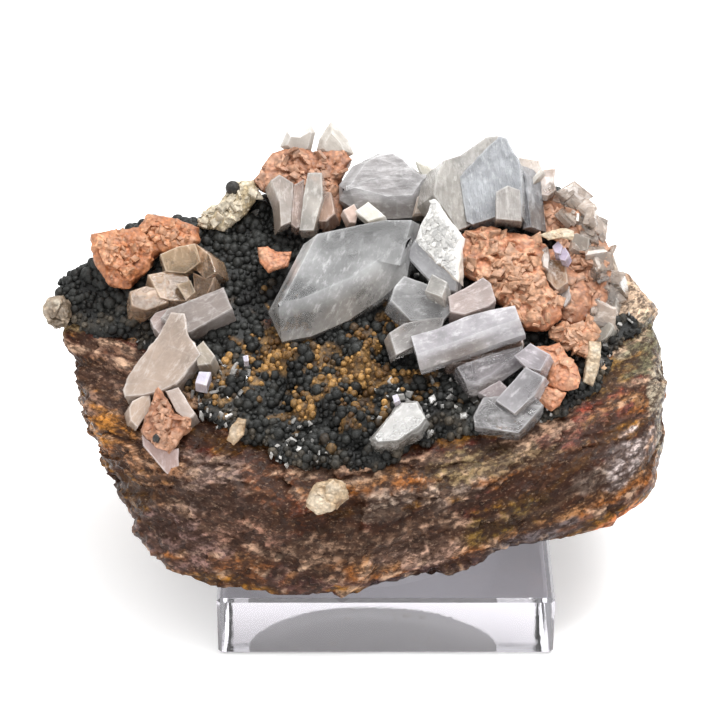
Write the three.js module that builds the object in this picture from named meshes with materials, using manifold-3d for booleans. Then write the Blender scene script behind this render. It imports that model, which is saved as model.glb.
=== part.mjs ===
// Baryte with fluorite: a broken lump of banded gangue with a black botryoidal crust, baryte tablets, orange
// bladed rosettes and small fluorite cubes, resting on a gel pad on a clear display block.
// Millimetres, +Z up, the block's front toward -Y, origin in the middle of the block's underside.

import * as THREE from 'three';
import { ConvexGeometry } from 'three/addons/geometries/ConvexGeometry.js';
import { mergeVertices } from 'three/addons/utils/BufferGeometryUtils.js';
import Module from 'manifold-3d';

const wasm = await Module();
wasm.setup();

// Driving dimensions
const BLOCK = { side: 50, height: 10, bevel: 0.5 };
const GAP = 0.3;
const PAD = { radius: 20, height: 0.6, across: -2, forward: -0.8, sides: 24 };
const PAD_FOOT = BLOCK.height + GAP;
const STONE_FOOT = PAD_FOOT + PAD.height + GAP;
const STONE = { middle: [-3, 3, 25], reach: [44, 29, 22], rings: 34, spokes: 22, sharpness: 24 };
const CRUST = { thick: 1.9, back: 30, low: 27, edgeFade: [-1, 1.2], backFade: 2.5, lowFade: 2 };
const LUMP = { pitch: 5.4, rowPitch: 4.7, jitter: 1.6, small: 1.7, large: 2.6, sunk: 0.2, turn: 3 };
const LUMP_FIELD = { across: [-52, 46], up: [12, 62] };
const LEDGE = { pitch: 5.2, depth: 1.1, facing: [-0.5, 0.78, 0.38] };

// Sizes on the stone are taken square to a sight line that dips by this much toward the back: how far across,
// how far up, and how far toward the viewer
const SIGHT_DIP = THREE.MathUtils.degToRad(31);
const DIP_SIN = Math.sin(SIGHT_DIP);
const DIP_COS = Math.cos(SIGHT_DIP);

function placed([across, up, toward]) {
  return new THREE.Vector3(across, up * DIP_SIN - toward * DIP_COS, up * DIP_COS + toward * DIP_SIN);
}

function sighted(point) {
  return {
    across: point.x,
    up: point.y * DIP_SIN + point.z * DIP_COS,
    toward: point.z * DIP_SIN - point.y * DIP_COS,
  };
}

// Repeatable random numbers between 0 and 1
function seeded(seed) {
  let state = seed;
  return () => {
    state = (state * 1664525 + 1013904223) % 4294967296;
    return state / 4294967296;
  };
}

// Closed meshes to solids and back
function solidOf(geometry) {
  geometry.deleteAttribute('normal');
  geometry.deleteAttribute('uv');
  const merged = mergeVertices(geometry, 1e-4);
  const mesh = new wasm.Mesh({
    numProp: 3,
    vertProperties: new Float32Array(merged.attributes.position.array),
    triVerts: new Uint32Array(merged.index.array),
  });
  return new wasm.Manifold(mesh);
}

function geometryOf(solid) {
  const mesh = solid.getMesh();
  const geometry = new THREE.BufferGeometry();
  geometry.setAttribute('position', new THREE.BufferAttribute(mesh.vertProperties, 3));
  geometry.setIndex(new THREE.BufferAttribute(mesh.triVerts, 1));
  const flat = geometry.toNonIndexed();
  flat.computeVertexNormals();
  return flat;
}

function joined(solids) {
  return solids.reduce((sum, solid) => sum.add(solid));
}

function largestBody(solid) {
  const bodies = solid.decompose();
  return bodies.reduce((best, body) => (body.volume() > best.volume() ? body : best));
}

// The stone: broken faces around its middle, each by a point on it and the way it faces, in sight-line sizes
const BROKEN_FACES = [
  { through: [-49, 34, 12], facing: [-0.95, -0.28, 0.1] },
  { through: [-49.5, 46, 6], facing: [-0.75, 0.64, 0.15] },
  { through: [-38, 50, 2], facing: [-0.12, 0.97, 0.2] },
  { through: [-43.5, 26, 23], facing: [-0.62, -0.12, 0.77] },
  { through: [-44, 10.5, 21], facing: [-0.79, -0.61, 0.05] },
  { through: [-33.6, -0.8, 26], facing: [-0.6, -0.8, 0.1] },
  { through: [-21.4, -5.8, 27.5], facing: [-0.23, -0.97, 0.12] },
  { through: [-6, -4.8, 27], facing: [0.1, -0.99, 0.1] },
  { through: [13, -0.8, 26], facing: [0.28, -0.95, 0.15] },
  { through: [33, 6.4, 23], facing: [0.27, -0.95, 0.12] },
  { through: [42, 16, 15], facing: [0.98, -0.17, 0.05] },
  { through: [43, 31, 8], facing: [0.99, 0.1, 0.05] },
  { through: [40.6, 38.6, 5], facing: [0.74, 0.66, 0.12] },
  { through: [-5, 9, 34.5], facing: [0.02, -0.38, 0.93] },
  { through: [-22, 12, 33.5], facing: [-0.26, -0.36, 0.9] },
  { through: [24, 14, 31.5], facing: [0.16, -0.42, 0.89] },
  { through: [37, 22, 26], facing: [0.42, -0.05, 0.9] },
  { through: [-5, 18, 29], facing: [0, 0.42, 0.9] },
  { through: [-3, 30, 18.8], facing: [-0.02, 0.6, 0.8] },
  { through: [-34, 43, 8], facing: [-0.2, 0.6, 0.78] },
  { through: [32, 42, 7.5], facing: [0.26, 0.6, 0.76] },
];

// The faces that the sight line doesn't reach, by a point and a direction in the part's own axes
const HIDDEN_FACES = [
  { through: [-3, 0, STONE_FOOT - 2.2], facing: [0, 0, -1] },
  { through: [8, -8, STONE_FOOT - 0.6], facing: [0.25, 0, -0.97] },
  { through: [-27, -6, STONE_FOOT - 1.5], facing: [-0.4, 0, -0.92] },
  { through: [0, 35, 34], facing: [0.05, 0.99, 0.1] },
  { through: [4, 23, 18], facing: [0.08, 0.72, -0.69] },
  { through: [-41, 24, 34], facing: [-0.68, 0.72, 0.1] },
  { through: [39, 23, 30], facing: [0.66, 0.74, -0.1] },
  { through: [-3, 27, 51], facing: [0, 0.3, 0.95] },
];

// Pits broken out of the front wall: where, how wide and how deep
const PITS = [
  { at: [-5.3, 8, 33], wide: 4.6, deep: 2.6 },
  { at: [-24, 6, 29], wide: 4, deep: 1.6 },
  { at: [22, 17, 30], wide: 6, deep: 1.5 },
  { at: [33, 36, 16], wide: 4, deep: 2.4 },
];

const MIDDLE = new THREE.Vector3(...STONE.middle);

function faceFrom(point, normal) {
  const facing = normal.normalize();
  return { facing, distance: facing.dot(point.clone().sub(MIDDLE)) };
}

const FACES = [
  ...BROKEN_FACES.map(({ through, facing }) => faceFrom(placed(through), placed(facing))),
  ...HIDDEN_FACES.map(({ through, facing }) => {
    return faceFrom(new THREE.Vector3(...through), new THREE.Vector3(...facing));
  }),
];

// Rolling unevenness of a broken surface: three sine waves of different length and direction
const SWELLS = [
  { wave: [0.32, 0.21, -0.27], high: 0.7, start: 0.6 },
  { wave: [-0.55, 0.62, 0.48], high: 0.45, start: 2.1 },
  { wave: [1.1, -0.85, 0.9], high: 0.3, start: 4.0 },
];

function unevenness(point) {
  return SWELLS.reduce((sum, { wave, high, start }) => {
    const phase = point.x * wave[0] + point.y * wave[1] + point.z * wave[2] + start;
    return sum + high * Math.sin(phase);
  }, 0);
}

// Ledges where the bands break off: a saw tooth across the banding
const LEDGE_FACING = placed(LEDGE.facing).normalize();

function ledges(point) {
  const steps = point.dot(LEDGE_FACING) / LEDGE.pitch;
  return LEDGE.depth * (steps - Math.floor(steps) - 0.5);
}

function pits(point) {
  return PITS.reduce((sum, { at, wide, deep }) => {
    const away = point.distanceTo(placed(at)) / wide;
    return sum - deep * Math.exp(-away * away);
  }, 0);
}

// How far the stone reaches from its middle in one direction: a soft minimum over its broken faces
function stoneReach(direction) {
  const crowd = FACES.reduce((sum, { facing, distance }) => {
    const toward = Math.max(0, facing.dot(direction)) / distance;
    return sum + toward ** STONE.sharpness;
  }, 0);
  const smooth = crowd ** (-1 / STONE.sharpness);
  const point = direction.clone().multiplyScalar(smooth).add(MIDDLE);
  const rough = smooth + unevenness(point) + ledges(point) + pits(point);
  const toFoot = direction.z < 0 ? (MIDDLE.z - STONE_FOOT) / -direction.z : Infinity;
  return Math.min(rough, toFoot);
}

// Lower edge of the crust across the stone: [across, up]
const CRUST_EDGE = [
  [-54, 34], [-46, 32.5], [-40, 30], [-33, 27], [-28, 24.5], [-23, 20.5], [-17, 17.5], [-12.5, 13.5], [-8, 12],
  [-2.5, 13.5], [2, 16.5], [8, 19.5], [12, 20.3], [23, 21.8], [30, 25], [36, 33], [46, 38],
];

function crustEdgeAt(across) {
  const next = CRUST_EDGE.findIndex(([at]) => at > across);
  if (next <= 0) {
    return CRUST_EDGE[next < 0 ? CRUST_EDGE.length - 1 : 0][1];
  }
  const [fromAt, fromUp] = CRUST_EDGE[next - 1];
  const [toAt, toUp] = CRUST_EDGE[next];
  return fromUp + ((across - fromAt) / (toAt - fromAt)) * (toUp - fromUp);
}

// 1 where the crust lies, 0 away from it
function crustCover(point) {
  const { across, up } = sighted(point);
  const { smoothstep } = THREE.MathUtils;
  const overEdge = smoothstep(up - crustEdgeAt(across), ...CRUST.edgeFade);
  const beforeBack = 1 - smoothstep(point.y, CRUST.back, CRUST.back + CRUST.backFade);
  const aboveLow = smoothstep(point.z, CRUST.low, CRUST.low + CRUST.lowFade);
  return Math.min(overEdge, beforeBack, aboveLow);
}

function crustReach(direction) {
  const reach = stoneReach(direction);
  const point = direction.clone().multiplyScalar(reach).add(MIDDLE);
  const cover = crustCover(point);
  return reach + CRUST.thick * cover - (1 - cover);
}

// A closed body around the stone's middle: rings along X, their directions spread as on an ellipsoid
function bodyAround(reachOf) {
  const { rings, spokes, reach } = STONE;
  const points = [];
  for (let ring = 0; ring <= rings; ring += 1) {
    const along = (Math.PI * ring) / rings;
    const count = ring === 0 || ring === rings ? 1 : spokes;
    for (let spoke = 0; spoke < count; spoke += 1) {
      const round = (2 * Math.PI * spoke) / spokes;
      const direction = new THREE.Vector3(
        reach[0] * Math.cos(along),
        reach[1] * Math.sin(along) * Math.cos(round),
        reach[2] * Math.sin(along) * Math.sin(round),
      ).normalize();
      points.push(direction.clone().multiplyScalar(reachOf(direction)).add(MIDDLE));
    }
  }
  const at = (ring, spoke) => {
    if (ring === 0) {
      return 0;
    }
    return ring === rings ? points.length - 1 : 1 + (ring - 1) * spokes + (spoke % spokes);
  };
  const index = [];
  for (let ring = 0; ring < rings; ring += 1) {
    for (let spoke = 0; spoke < spokes; spoke += 1) {
      const [a, b] = [at(ring, spoke), at(ring, spoke + 1)];
      const [c, d] = [at(ring + 1, spoke), at(ring + 1, spoke + 1)];
      if (c !== d) {
        index.push(a, c, d);
      }
      if (a !== b) {
        index.push(a, d, b);
      }
    }
  }
  const geometry = new THREE.BufferGeometry().setFromPoints(points);
  geometry.setIndex(index);
  return solidOf(geometry);
}

// An outline moved outward by a distance, or inward by a negative one
function offsetOutline(outline, distance) {
  const count = outline.length;
  const turn = outline.reduce((sum, [x, y], i) => {
    const [nextX, nextY] = outline[(i + 1) % count];
    return sum + x * nextY - nextX * y;
  }, 0);
  const points = (turn > 0 ? outline : [...outline].reverse()).map(([x, y]) => new THREE.Vector2(x, y));
  return points.map((point, i) => {
    const before = point.clone().sub(points[(i + count - 1) % count]).normalize();
    const after = points[(i + 1) % count].clone().sub(point).normalize();
    const outBefore = new THREE.Vector2(before.y, -before.x);
    const outAfter = new THREE.Vector2(after.y, -after.x);
    const spread = Math.max(0.6, 1 + outBefore.dot(outAfter));
    return point.clone().add(outBefore.add(outAfter).multiplyScalar(distance / spread));
  });
}

// A crystal as a bevelled tablet: its outline as seen, how far its face stands toward the viewer, how the face
// leans (toward the viewer per millimetre across and up), its thickness behind the face and its bevels
function tablet({ outline, toward, lean = [0, 0], thick, bevel = 0.4 }, grow = 0) {
  const centre = outline.reduce(([x, y], [px, py]) => [x + px / outline.length, y + py / outline.length], [0, 0]);
  const behind = placed([-lean[0], -lean[1], 1]).normalize().negate();
  const rim = (inset, depth) => offsetOutline(outline, grow - inset).map(({ x, y }) => {
    const face = toward + lean[0] * (x - centre[0]) + lean[1] * (y - centre[1]);
    return placed([x, y, face]).addScaledVector(behind, depth);
  });
  const points = [...rim(bevel, -grow), ...rim(0, bevel), ...rim(0, thick + grow)];
  return solidOf(new ConvexGeometry(points));
}

// One small blade of a rosette: its outline across and along, for a blade of length 1, its width for that length,
// half its thickness, how its length varies, and how far in the core its foot stands
const BLADE = {
  corners: [[0.3, 1], [1, 0], [0, -0.6], [-1, 0.2]],
  width: 0.62,
  half: 0.55,
  shortest: 0.7,
  spread: 0.6,
  footed: 0.93,
  lowest: 1.5,
};
const GOLDEN_ANGLE = Math.PI * (3 - Math.sqrt(5));

// A rough mass of small curved blades: a lumpy core with thin rhombic plates standing out of it all round
function rosette({ at, radii, blades, length, seed }, grow = 0) {
  const chance = seeded(seed);
  const centre = placed(at);
  const core = new THREE.OctahedronGeometry(1, 1);
  core.scale(radii[0] + grow, radii[1] + grow, radii[2] + grow);
  core.translate(centre.x, centre.y, centre.z);
  const solids = [solidOf(core)];
  for (let i = 0; i < blades; i += 1) {
    const height = 1 - BLADE.lowest * ((i + 0.5) / blades);
    const round = i * GOLDEN_ANGLE;
    const level = Math.sqrt(Math.max(0, 1 - height * height));
    const out = new THREE.Vector3(level * Math.cos(round), level * Math.sin(round), height);
    const foot = out.clone().multiply(new THREE.Vector3(...radii)).multiplyScalar(BLADE.footed).add(centre);
    const side = new THREE.Vector3(chance() - 0.5, chance() - 0.5, chance() - 0.5).cross(out).normalize();
    const flat = out.clone().cross(side);
    const long = length * (BLADE.shortest + BLADE.spread * chance()) + grow;
    const wide = long * BLADE.width;
    const half = BLADE.half + grow;
    const points = BLADE.corners.flatMap(([x, y]) => [-half, half].map((z) => foot.clone()
      .addScaledVector(side, x * wide)
      .addScaledVector(out, y * long)
      .addScaledVector(flat, z)));
    solids.push(solidOf(new ConvexGeometry(points)));
  }
  return joined(solids);
}

// Everything that stands on the crust, front first, each with its colour: tablets are in sight-line sizes
const GROWTHS = {
  front_blades: {
    colour: '#c3c6c8',
    tablets: [
      { outline: [[3.6, 34.3], [8, 36.2], [13.9, 38.2], [19.3, 39.3], [20.4, 35.3], [12.5, 32.5],
        [4.9, 29.9]],
        toward: 25, lean: [0.12, -0.35], thick: 3.4, bevel: 0.5 },
      { outline: [[0.5, 35.1], [3.6, 36.9], [8.1, 37.3], [8.1, 33.3], [3.6, 32.5], [1.1, 31.6]],
        toward: 22, lean: [-0.2, -0.3], thick: 4 },
      { outline: [[0.8, 40.7], [2.8, 43.5], [5.9, 43.1], [12.7, 41.3], [13.4, 38.6], [8.2, 36.8],
        [3.7, 37.1]],
        toward: 19.5, lean: [0.1, -0.25], thick: 6 },
      { outline: [[5.9, 41.5], [6.6, 44.2], [9.2, 43.6],
        [8.6, 40.9]], toward: 21.5, lean: [0.2, -0.5], thick: 4 },
      { outline: [[12.7, 41.5], [14.2, 43], [15.7, 43.5], [16.5, 41.8], [16.4, 39.6], [13.4, 38.8]],
        toward: 20.5, lean: [0, -0.4], thick: 4.5, bevel: 0.7 },
    ],
  },
  lower_blades: {
    colour: '#bfc1c4',
    tablets: [
      { outline: [[16.1, 25], [21.7, 30], [23.3, 28.6],
        [18.9, 22.8]], toward: 28, lean: [0.3, -0.3], thick: 3 },
      { outline: [[18.3, 30.3], [21, 33.7], [24.2, 31.9], [22.7, 29.3], [20.5, 27.4]],
        toward: 26, lean: [0.3, -0.4], thick: 3.4 },
      { outline: [[10.2, 30], [17.6, 32.8], [20.6, 32.5], [19.1, 28.1], [13.2, 26]],
        toward: 24.6, lean: [-0.1, -0.35], thick: 4.4 },
      { outline: [[12.7, 23], [14.5, 25.2], [22.5, 25.5], [22.8, 24], [19.3, 20.2], [13, 21.2]],
        toward: 29.2, lean: [0.05, -0.6], thick: 3 },
    ],
  },
  bright_plate: {
    colour: '#d3d6d8',
    tablets: [
      { outline: [[7.3, 55.7], [11.1, 50], [10.9, 42.6], [8.2, 44.3], [4, 48.7]],
        toward: 18.5, lean: [0.35, -0.2], thick: 2.4, bevel: 0.3 },
    ],
  },
  central_baryte: {
    colour: '#b3b6b6',
    tablets: [
      { outline: [[-17.8, 39.2], [-11.2, 50.4], [2.8, 52.8], [3.4, 45.8], [1, 41.4], [-5, 38.3],
        [-10.4, 35.7], [-16, 34.7]],
        toward: 18, lean: [0.05, -0.42], thick: 7.5, bevel: 1.4 },
    ],
  },
  small_rhombs: {
    colour: '#d5d2d0',
    tablets: [
      { outline: [[-4.7, 54], [-2.8, 55.3], [0.2, 53], [-1.1, 52.4], [-3.2, 52.1]],
        toward: 10, lean: [0.2, -0.5], thick: 2, bevel: 0.2 },
      { outline: [[-6.8, 54], [-4.6, 55.5], [-3.6, 53.8], [-4.8, 51.9], [-6, 52.1]],
        toward: 9, lean: [-0.2, -0.3], thick: 2.4, bevel: 0.2 },
    ],
  },
  tall_baryte: {
    colour: '#bccad8',
    tablets: [
      { outline: [[11.4, 59.4], [13.1, 62.1], [16.8, 64.8], [18.8, 64.6], [20, 62.1], [21.1, 58.8],
        [21.7, 55.7],
        [18.5, 53.4], [12.8, 51.8]],
      toward: 9.5, lean: [0.25, -0.25], thick: 5, bevel: 0.5 },
      { outline: [[16.8, 56.8], [18.7, 57.7], [20.6, 57.6], [21, 52.4], [16.6, 52.7]],
        toward: 12.5, lean: [0, -0.2], thick: 4 },
      { outline: [[9.2, 62.1], [13.2, 64.2], [16.9, 66.2], [17.9, 63.6], [14.8, 59], [13.5, 51.8],
        [10.9, 50.9],
        [8.1, 55.9], [7.3, 59]],
      toward: 7.5, lean: [-0.5, -0.3], thick: 6, bevel: 0.5 },
    ],
  },
  top_baryte: {
    colour: '#aeb7c2',
    tablets: [
      { outline: [[-7.7, 58.9], [-4.5, 62.2], [1, 64.4], [3.6, 62.5], [6, 59.1], [0.5, 54.3], [-5.5, 55.7]],
        toward: 4.5, lean: [-0.15, -0.35], thick: 6, bevel: 0.8 },
    ],
  },
  top_side_crystal: {
    colour: '#b4bbc4',
    tablets: [
      { outline: [[4.6, 62.4], [5.6, 62.9], [7.8, 62], [8.4, 59.6], [6.2, 58.3], [5, 60.5]],
        toward: 1.5, lean: [0.2, -0.3], thick: 4 },
    ],
  },
  top_low_crystal: {
    colour: '#b2b8c0',
    tablets: [
      { outline: [[5.8, 58.2], [8.6, 59.4], [8, 56.6], [6.3, 54.1], [1.2, 54.1]],
        toward: 4.6, lean: [0.1, -0.3], thick: 5 },
    ],
  },
  orange_rosette: {
    colour: '#d29470',
    rosettes: [
      { at: [15.6, 46.2, 12.6], radii: [5.4, 4.2, 4.8], blades: 6, length: 3, seed: 11 },
      { at: [21.4, 42.4, 13.6], radii: [5.2, 5, 5.4], blades: 6, length: 3, seed: 23 },
      { at: [27.6, 51, 5.5], radii: [4.8, 5, 4.8], blades: 4, length: 2.6, seed: 31 },
      { at: [29.4, 43.4, 9], radii: [4.6, 5.4, 5], blades: 4, length: 2.6, seed: 47 },
    ],
  },
  low_rosette: {
    colour: '#cf8f6b',
    rosettes: [
      { at: [27.4, 34.4, 17], radii: [3.6, 3.2, 3.6], blades: 4, length: 2.4, seed: 53 },
    ],
  },
  orange_plate: {
    colour: '#cf8f6b',
    tablets: [
      { outline: [[22.9, 33.3], [25.8, 33.3], [28.4, 28.8], [27.6, 26.3], [24.8, 23.6], [22.6, 25.9],
        [24.1, 29.6]],
        toward: 24.6, lean: [0.15, -0.6], thick: 3.6, bevel: 0.6 },
    ],
  },
  cream_lath: {
    colour: '#d3bda0',
    tablets: [
      { outline: [[30.5, 33.9], [32.4, 33.7], [30.9, 28.4], [29.9, 26.6], [28.8, 28.1]],
        toward: 20.6, lean: [-0.3, -0.4], thick: 3.6, bevel: 0.3 },
    ],
  },
  pale_tablets: {
    colour: '#cdb8ae',
    tablets: [
      { outline: [[20.6, 62.8], [24.2, 62.2], [24.4, 60.3], [22.7, 56.8], [20.8, 57.5]],
        toward: 4.5, lean: [0.2, -0.3], thick: 4.5 },
      { outline: [[24.3, 60.7], [26.8, 60.9], [26.5, 57.5], [24.9, 55.9], [22.9, 56.2]],
        toward: 5, lean: [0, -0.4], thick: 5 },
      { outline: [[26, 57.4], [29.8, 56.6], [29.5, 54.9],
        [26.4, 54.4]], toward: 5.4, lean: [0.1, -0.5], thick: 4 },
    ],
  },
  upper_rim_crystal: {
    colour: '#c9bfb6',
    tablets: [
      { outline: [[31.9, 49.8], [33.9, 50.3], [35.7, 46.4], [36.2, 42.6], [35, 40.3], [33.1, 38.4],
        [31.6, 39.7]],
        toward: 9, lean: [0.4, -0.4], thick: 5 },
    ],
  },
  lower_rim_crystal: {
    colour: '#c4b8ad',
    tablets: [
      { outline: [[31.7, 38.3], [34.3, 38.9], [35.2, 36.4], [32.5, 33.5], [31, 34.6]],
        toward: 14, lean: [0.3, -0.4], thick: 5 },
    ],
  },
  violet_fluorite: {
    colour: '#9a8fb0',
    tablets: [
      { outline: [[25.8, 47.4], [27, 48.8], [28.3, 47.7], [28.4, 45.9], [26.9, 45]],
        toward: 15.6, lean: [0.2, -0.5], thick: 2.6, bevel: 0.2 },
    ],
  },
  crown_crystals: {
    colour: '#c9c2bd',
    tablets: [
      { outline: [[-15.8, 63], [-15.4, 66.1], [-13.3, 66.4], [-10.9, 67.4], [-10.2, 66.8],
        [-10.5, 61.9], [-13.3, 59.8]],
        toward: -0.4, lean: [-0.2, 0.1], thick: 4 },
      { outline: [[-11.9, 63.2], [-8.4, 68.8], [-5.6, 65.5], [-5.4, 62.7], [-7.3, 60.4], [-11.4, 60.6]],
        toward: -0.2, lean: [0.1, 0.1], thick: 4 },
    ],
  },
  lath_group: {
    colour: '#ccc6c2',
    tablets: [
      { outline: [[-12.8, 60.3], [-9.2, 59.8], [-9.2, 54.8], [-10.3, 50.3], [-13.4, 50.3], [-13.4, 57.2]],
        toward: 9, lean: [0.1, -0.25], thick: 5 },
      { outline: [[-15.4, 56.6], [-12.3, 58.4], [-12.3, 51.2], [-15, 50.2], [-15.6, 53.5]],
        toward: 8, lean: [-0.3, -0.3], thick: 4 },
    ],
  },
  lath_neighbour: {
    colour: '#c8bdb8',
    tablets: [
      { outline: [[-9.4, 54.2], [-6.6, 54.6], [-7, 51.9], [-8, 50.8], [-10.4, 50.6]],
        toward: 7.6, lean: [0.2, -0.4], thick: 4 },
    ],
  },
  crown_rosette: {
    colour: '#cf8f66',
    rosettes: [
      { at: [-15.8, 60, -2], radii: [5, 3.4, 3.6], blades: 4, length: 2.2, seed: 61 },
      { at: [-9.2, 60.4, -2], radii: [4.6, 3.2, 3.2], blades: 3, length: 2.2, seed: 67 },
    ],
  },
  left_cubes: {
    colour: '#c8b492',
    tablets: [
      { outline: [[-35.8, 46], [-33.6, 47.8], [-30.1, 47.8], [-29.7, 41.4], [-34.3, 40.2], [-36.1, 42.5]],
        toward: 13, lean: [-0.1, -0.4], thick: 5 },
      { outline: [[-30.6, 46.6], [-27.5, 48.3], [-25.6, 45.1], [-27.5, 41.7], [-30.4, 41.7]],
        toward: 12.6, lean: [0.3, -0.4], thick: 5 },
      { outline: [[-38.3, 42.6], [-35.6, 43.8], [-33.8, 41.6], [-34.9, 38.8], [-37.4, 38.8]],
        toward: 15.4, lean: [-0.2, -0.5], thick: 4.6 },
    ],
  },
  left_lath: {
    colour: '#bfb9b2',
    tablets: [
      { outline: [[-31.2, 38.4], [-24.5, 42], [-23, 39],
        [-29.4, 34.8]], toward: 18, lean: [0.1, -0.5], thick: 4 },
      { outline: [[-35.6, 37.4], [-31.8, 39.8], [-30, 38.3], [-32.3, 34.8], [-35.3, 35.6]],
        toward: 16, lean: [0, -0.5], thick: 3.6 },
    ],
  },
  left_baryte: {
    colour: '#cfcac4',
    tablets: [
      { outline: [[-33, 37.6], [-31.9, 38.5], [-30.1, 36.7], [-28.7, 33.1], [-27.5, 31.9],
        [-30.5, 27.2], [-38.9, 25.4],
        [-39, 26.9], [-36.6, 31.3]],
      toward: 22, lean: [0.15, -0.45], thick: 6, bevel: 0.8 },
      { outline: [[-28.7, 32.2], [-27.2, 33.9], [-25.6, 31.8], [-26.2, 29.9], [-28.7, 29.3]],
        toward: 22.4, lean: [0.2, -0.6], thick: 3.6 },
    ],
  },
  clear_cube: {
    colour: '#b9bcc0',
    tablets: [
      { outline: [[-29, 27.6], [-28.1, 29.4], [-26.1, 29], [-26.8, 27.2]],
        toward: 24.8, lean: [0, -0.6], thick: 3, bevel: 0.1 },
    ],
  },
  left_rosette: {
    colour: '#cb8658',
    rosettes: [
      { at: [-40, 46.6, 7.6], radii: [4.8, 4, 4.4], blades: 4, length: 2.5, seed: 71 },
      { at: [-34.4, 49.4, 4.6], radii: [5, 3.8, 4.4], blades: 4, length: 2.2, seed: 79 },
    ],
  },
  left_low_rosette: {
    colour: '#cd9272',
    rosettes: [
      { at: [-32.2, 21.8, 25.6], radii: [3.4, 3.4, 3.6], blades: 4, length: 2.2, seed: 83 },
    ],
    tablets: [
      { outline: [[-37.6, 23.7], [-36.1, 25.6], [-33.2, 25.9], [-33.2, 22.2], [-35.4, 21.5], [-37.3, 22.2]],
        toward: 27, lean: [-0.3, -0.3], thick: 4 },
      { outline: [[-35.7, 20.8], [-32.3, 19.4], [-30.3, 17.2], [-30.3, 13.8], [-31.9, 13.8], [-34.5, 17.2]],
        toward: 29.4, lean: [-0.1, 0.1], thick: 4 },
    ],
  },
  sugary_mass: {
    colour: '#d6cdb8',
    rosettes: [
      { at: [-23, 55, 0.8], radii: [4.4, 3.6, 4], blades: 4, length: 1.8, seed: 89 },
    ],
    tablets: [
      { outline: [[-28.6, 52.8], [-27.1, 55.1], [-24.4, 54.6], [-24.2, 52.2], [-27.7, 50.9]],
        toward: 4, lean: [-0.3, -0.3], thick: 4 },
    ],
  },
  left_knob: {
    colour: '#b9a98f',
    rosettes: [
      { at: [-48.4, 38.7, 8], radii: [3.4, 3.5, 3.8], blades: 0, length: 1, seed: 97 },
    ],
  },
  salmon_chip: {
    colour: '#cf9a7c',
    tablets: [
      { outline: [[-19.5, 47.9], [-17.3, 48.2], [-14.2, 47], [-14.9, 44.8], [-18.4, 44.5]],
        toward: 11.4, lean: [0, -0.6], thick: 3.4 },
    ],
  },
  sugary_chip: {
    colour: '#b9b4ad',
    tablets: [
      { outline: [[-2.1, 19.3], [2, 24.5], [5, 25.2], [5.7, 23], [2.8, 20.1], [-1.6, 17.9]],
        toward: 29.6, lean: [0, -0.7], thick: 3.4 },
    ],
  },
  tan_chip: {
    colour: '#c2a37e',
    tablets: [
      { outline: [[-23.1, 19.9], [-21.4, 22.6], [-20.2, 22], [-20.6, 19.6], [-22.6, 19.1]],
        toward: 30, lean: [0, -0.4], thick: 3 },
    ],
  },
  wall_chunk: {
    colour: '#cbb291',
    tablets: [
      { outline: [[-11.4, 12.2], [-8.2, 14], [-5.6, 13.7], [-5, 11.1], [-7.4, 9.1], [-10.8, 9.1]],
        toward: 34.6, lean: [0, -0.2], thick: 4.4, bevel: 0.8 },
    ],
  },
};

function growthBody({ tablets = [], rosettes = [] }, grow = 0) {
  return joined([
    ...tablets.map((shape) => tablet(shape, grow)),
    ...rosettes.map((shape) => rosette(shape, grow)),
  ]);
}

// About how far toward the viewer the crust stands at a height: its upper side slopes back
const CRUST_SLOPE = { at: 14, toward: 34, perUp: -0.8 };

function crustToward(up) {
  return CRUST_SLOPE.toward + CRUST_SLOPE.perUp * (up - CRUST_SLOPE.at);
}

// Round lumps of the crust, in staggered rows over its whole spread, left out where a crystal stands
function crustLumps(crystals) {
  const chance = seeded(5);
  const lumps = [];
  const [fromAcross, toAcross] = LUMP_FIELD.across;
  const [fromUp, toUp] = LUMP_FIELD.up;
  const jitter = () => (chance() - 0.5) * LUMP.jitter;
  for (let up = fromUp, row = 0; up < toUp; up += LUMP.rowPitch, row += 1) {
    for (let across = fromAcross + (row % 2) * LUMP.pitch * 0.5; across < toAcross; across += LUMP.pitch) {
      const aim = [across + jitter(), up + jitter()];
      const direction = placed([...aim, crustToward(aim[1])]).sub(MIDDLE).normalize();
      const foot = direction.clone().multiplyScalar(stoneReach(direction)).add(MIDDLE);
      const radius = LUMP.small + (LUMP.large - LUMP.small) * chance();
      if (crustCover(foot) > 0.99) {
        const lump = new THREE.IcosahedronGeometry(radius, 0);
        lump.rotateX(chance() * LUMP.turn).rotateY(chance() * LUMP.turn);
        const middle = foot.addScaledVector(direction, CRUST.thick - LUMP.sunk * radius);
        lump.translate(middle.x, middle.y, middle.z);
        const solid = solidOf(lump);
        if (solid.intersect(crystals).isEmpty()) {
          lumps.push(solid);
        }
      }
    }
  }
  return lumps;
}

const part = new THREE.Group();

function addPiece(name, geometry, colour, roughness = 0.5) {
  const material = new THREE.MeshStandardMaterial({ color: colour, roughness, metalness: 0 });
  const mesh = new THREE.Mesh(geometry, material);
  mesh.name = name;
  part.add(mesh);
}

// The stone, and the level above it and its crust from which crystals start
const stone = bodyAround(stoneReach);
const stoneWithGap = bodyAround((direction) => stoneReach(direction) + GAP);
const crystalSeat = bodyAround((direction) => Math.max(stoneReach(direction), crustReach(direction)) + GAP);

// Crystals and rosettes, each cut where an earlier one stands
let taken = crystalSeat;
let crystals = null;
for (const [name, growth] of Object.entries(GROWTHS)) {
  const body = largestBody(growthBody(growth).subtract(taken));
  const roomy = growthBody(growth, GAP);
  addPiece(name, geometryOf(body), growth.colour, 0.35);
  taken = taken.add(roomy);
  crystals = crystals ? crystals.add(roomy) : roomy;
}

// The crust: a skin with round lumps over the stone's upper side
const crustSkin = joined([bodyAround(crustReach), ...crustLumps(crystals)]);
const crust = largestBody(crustSkin.subtract(stoneWithGap));

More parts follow.
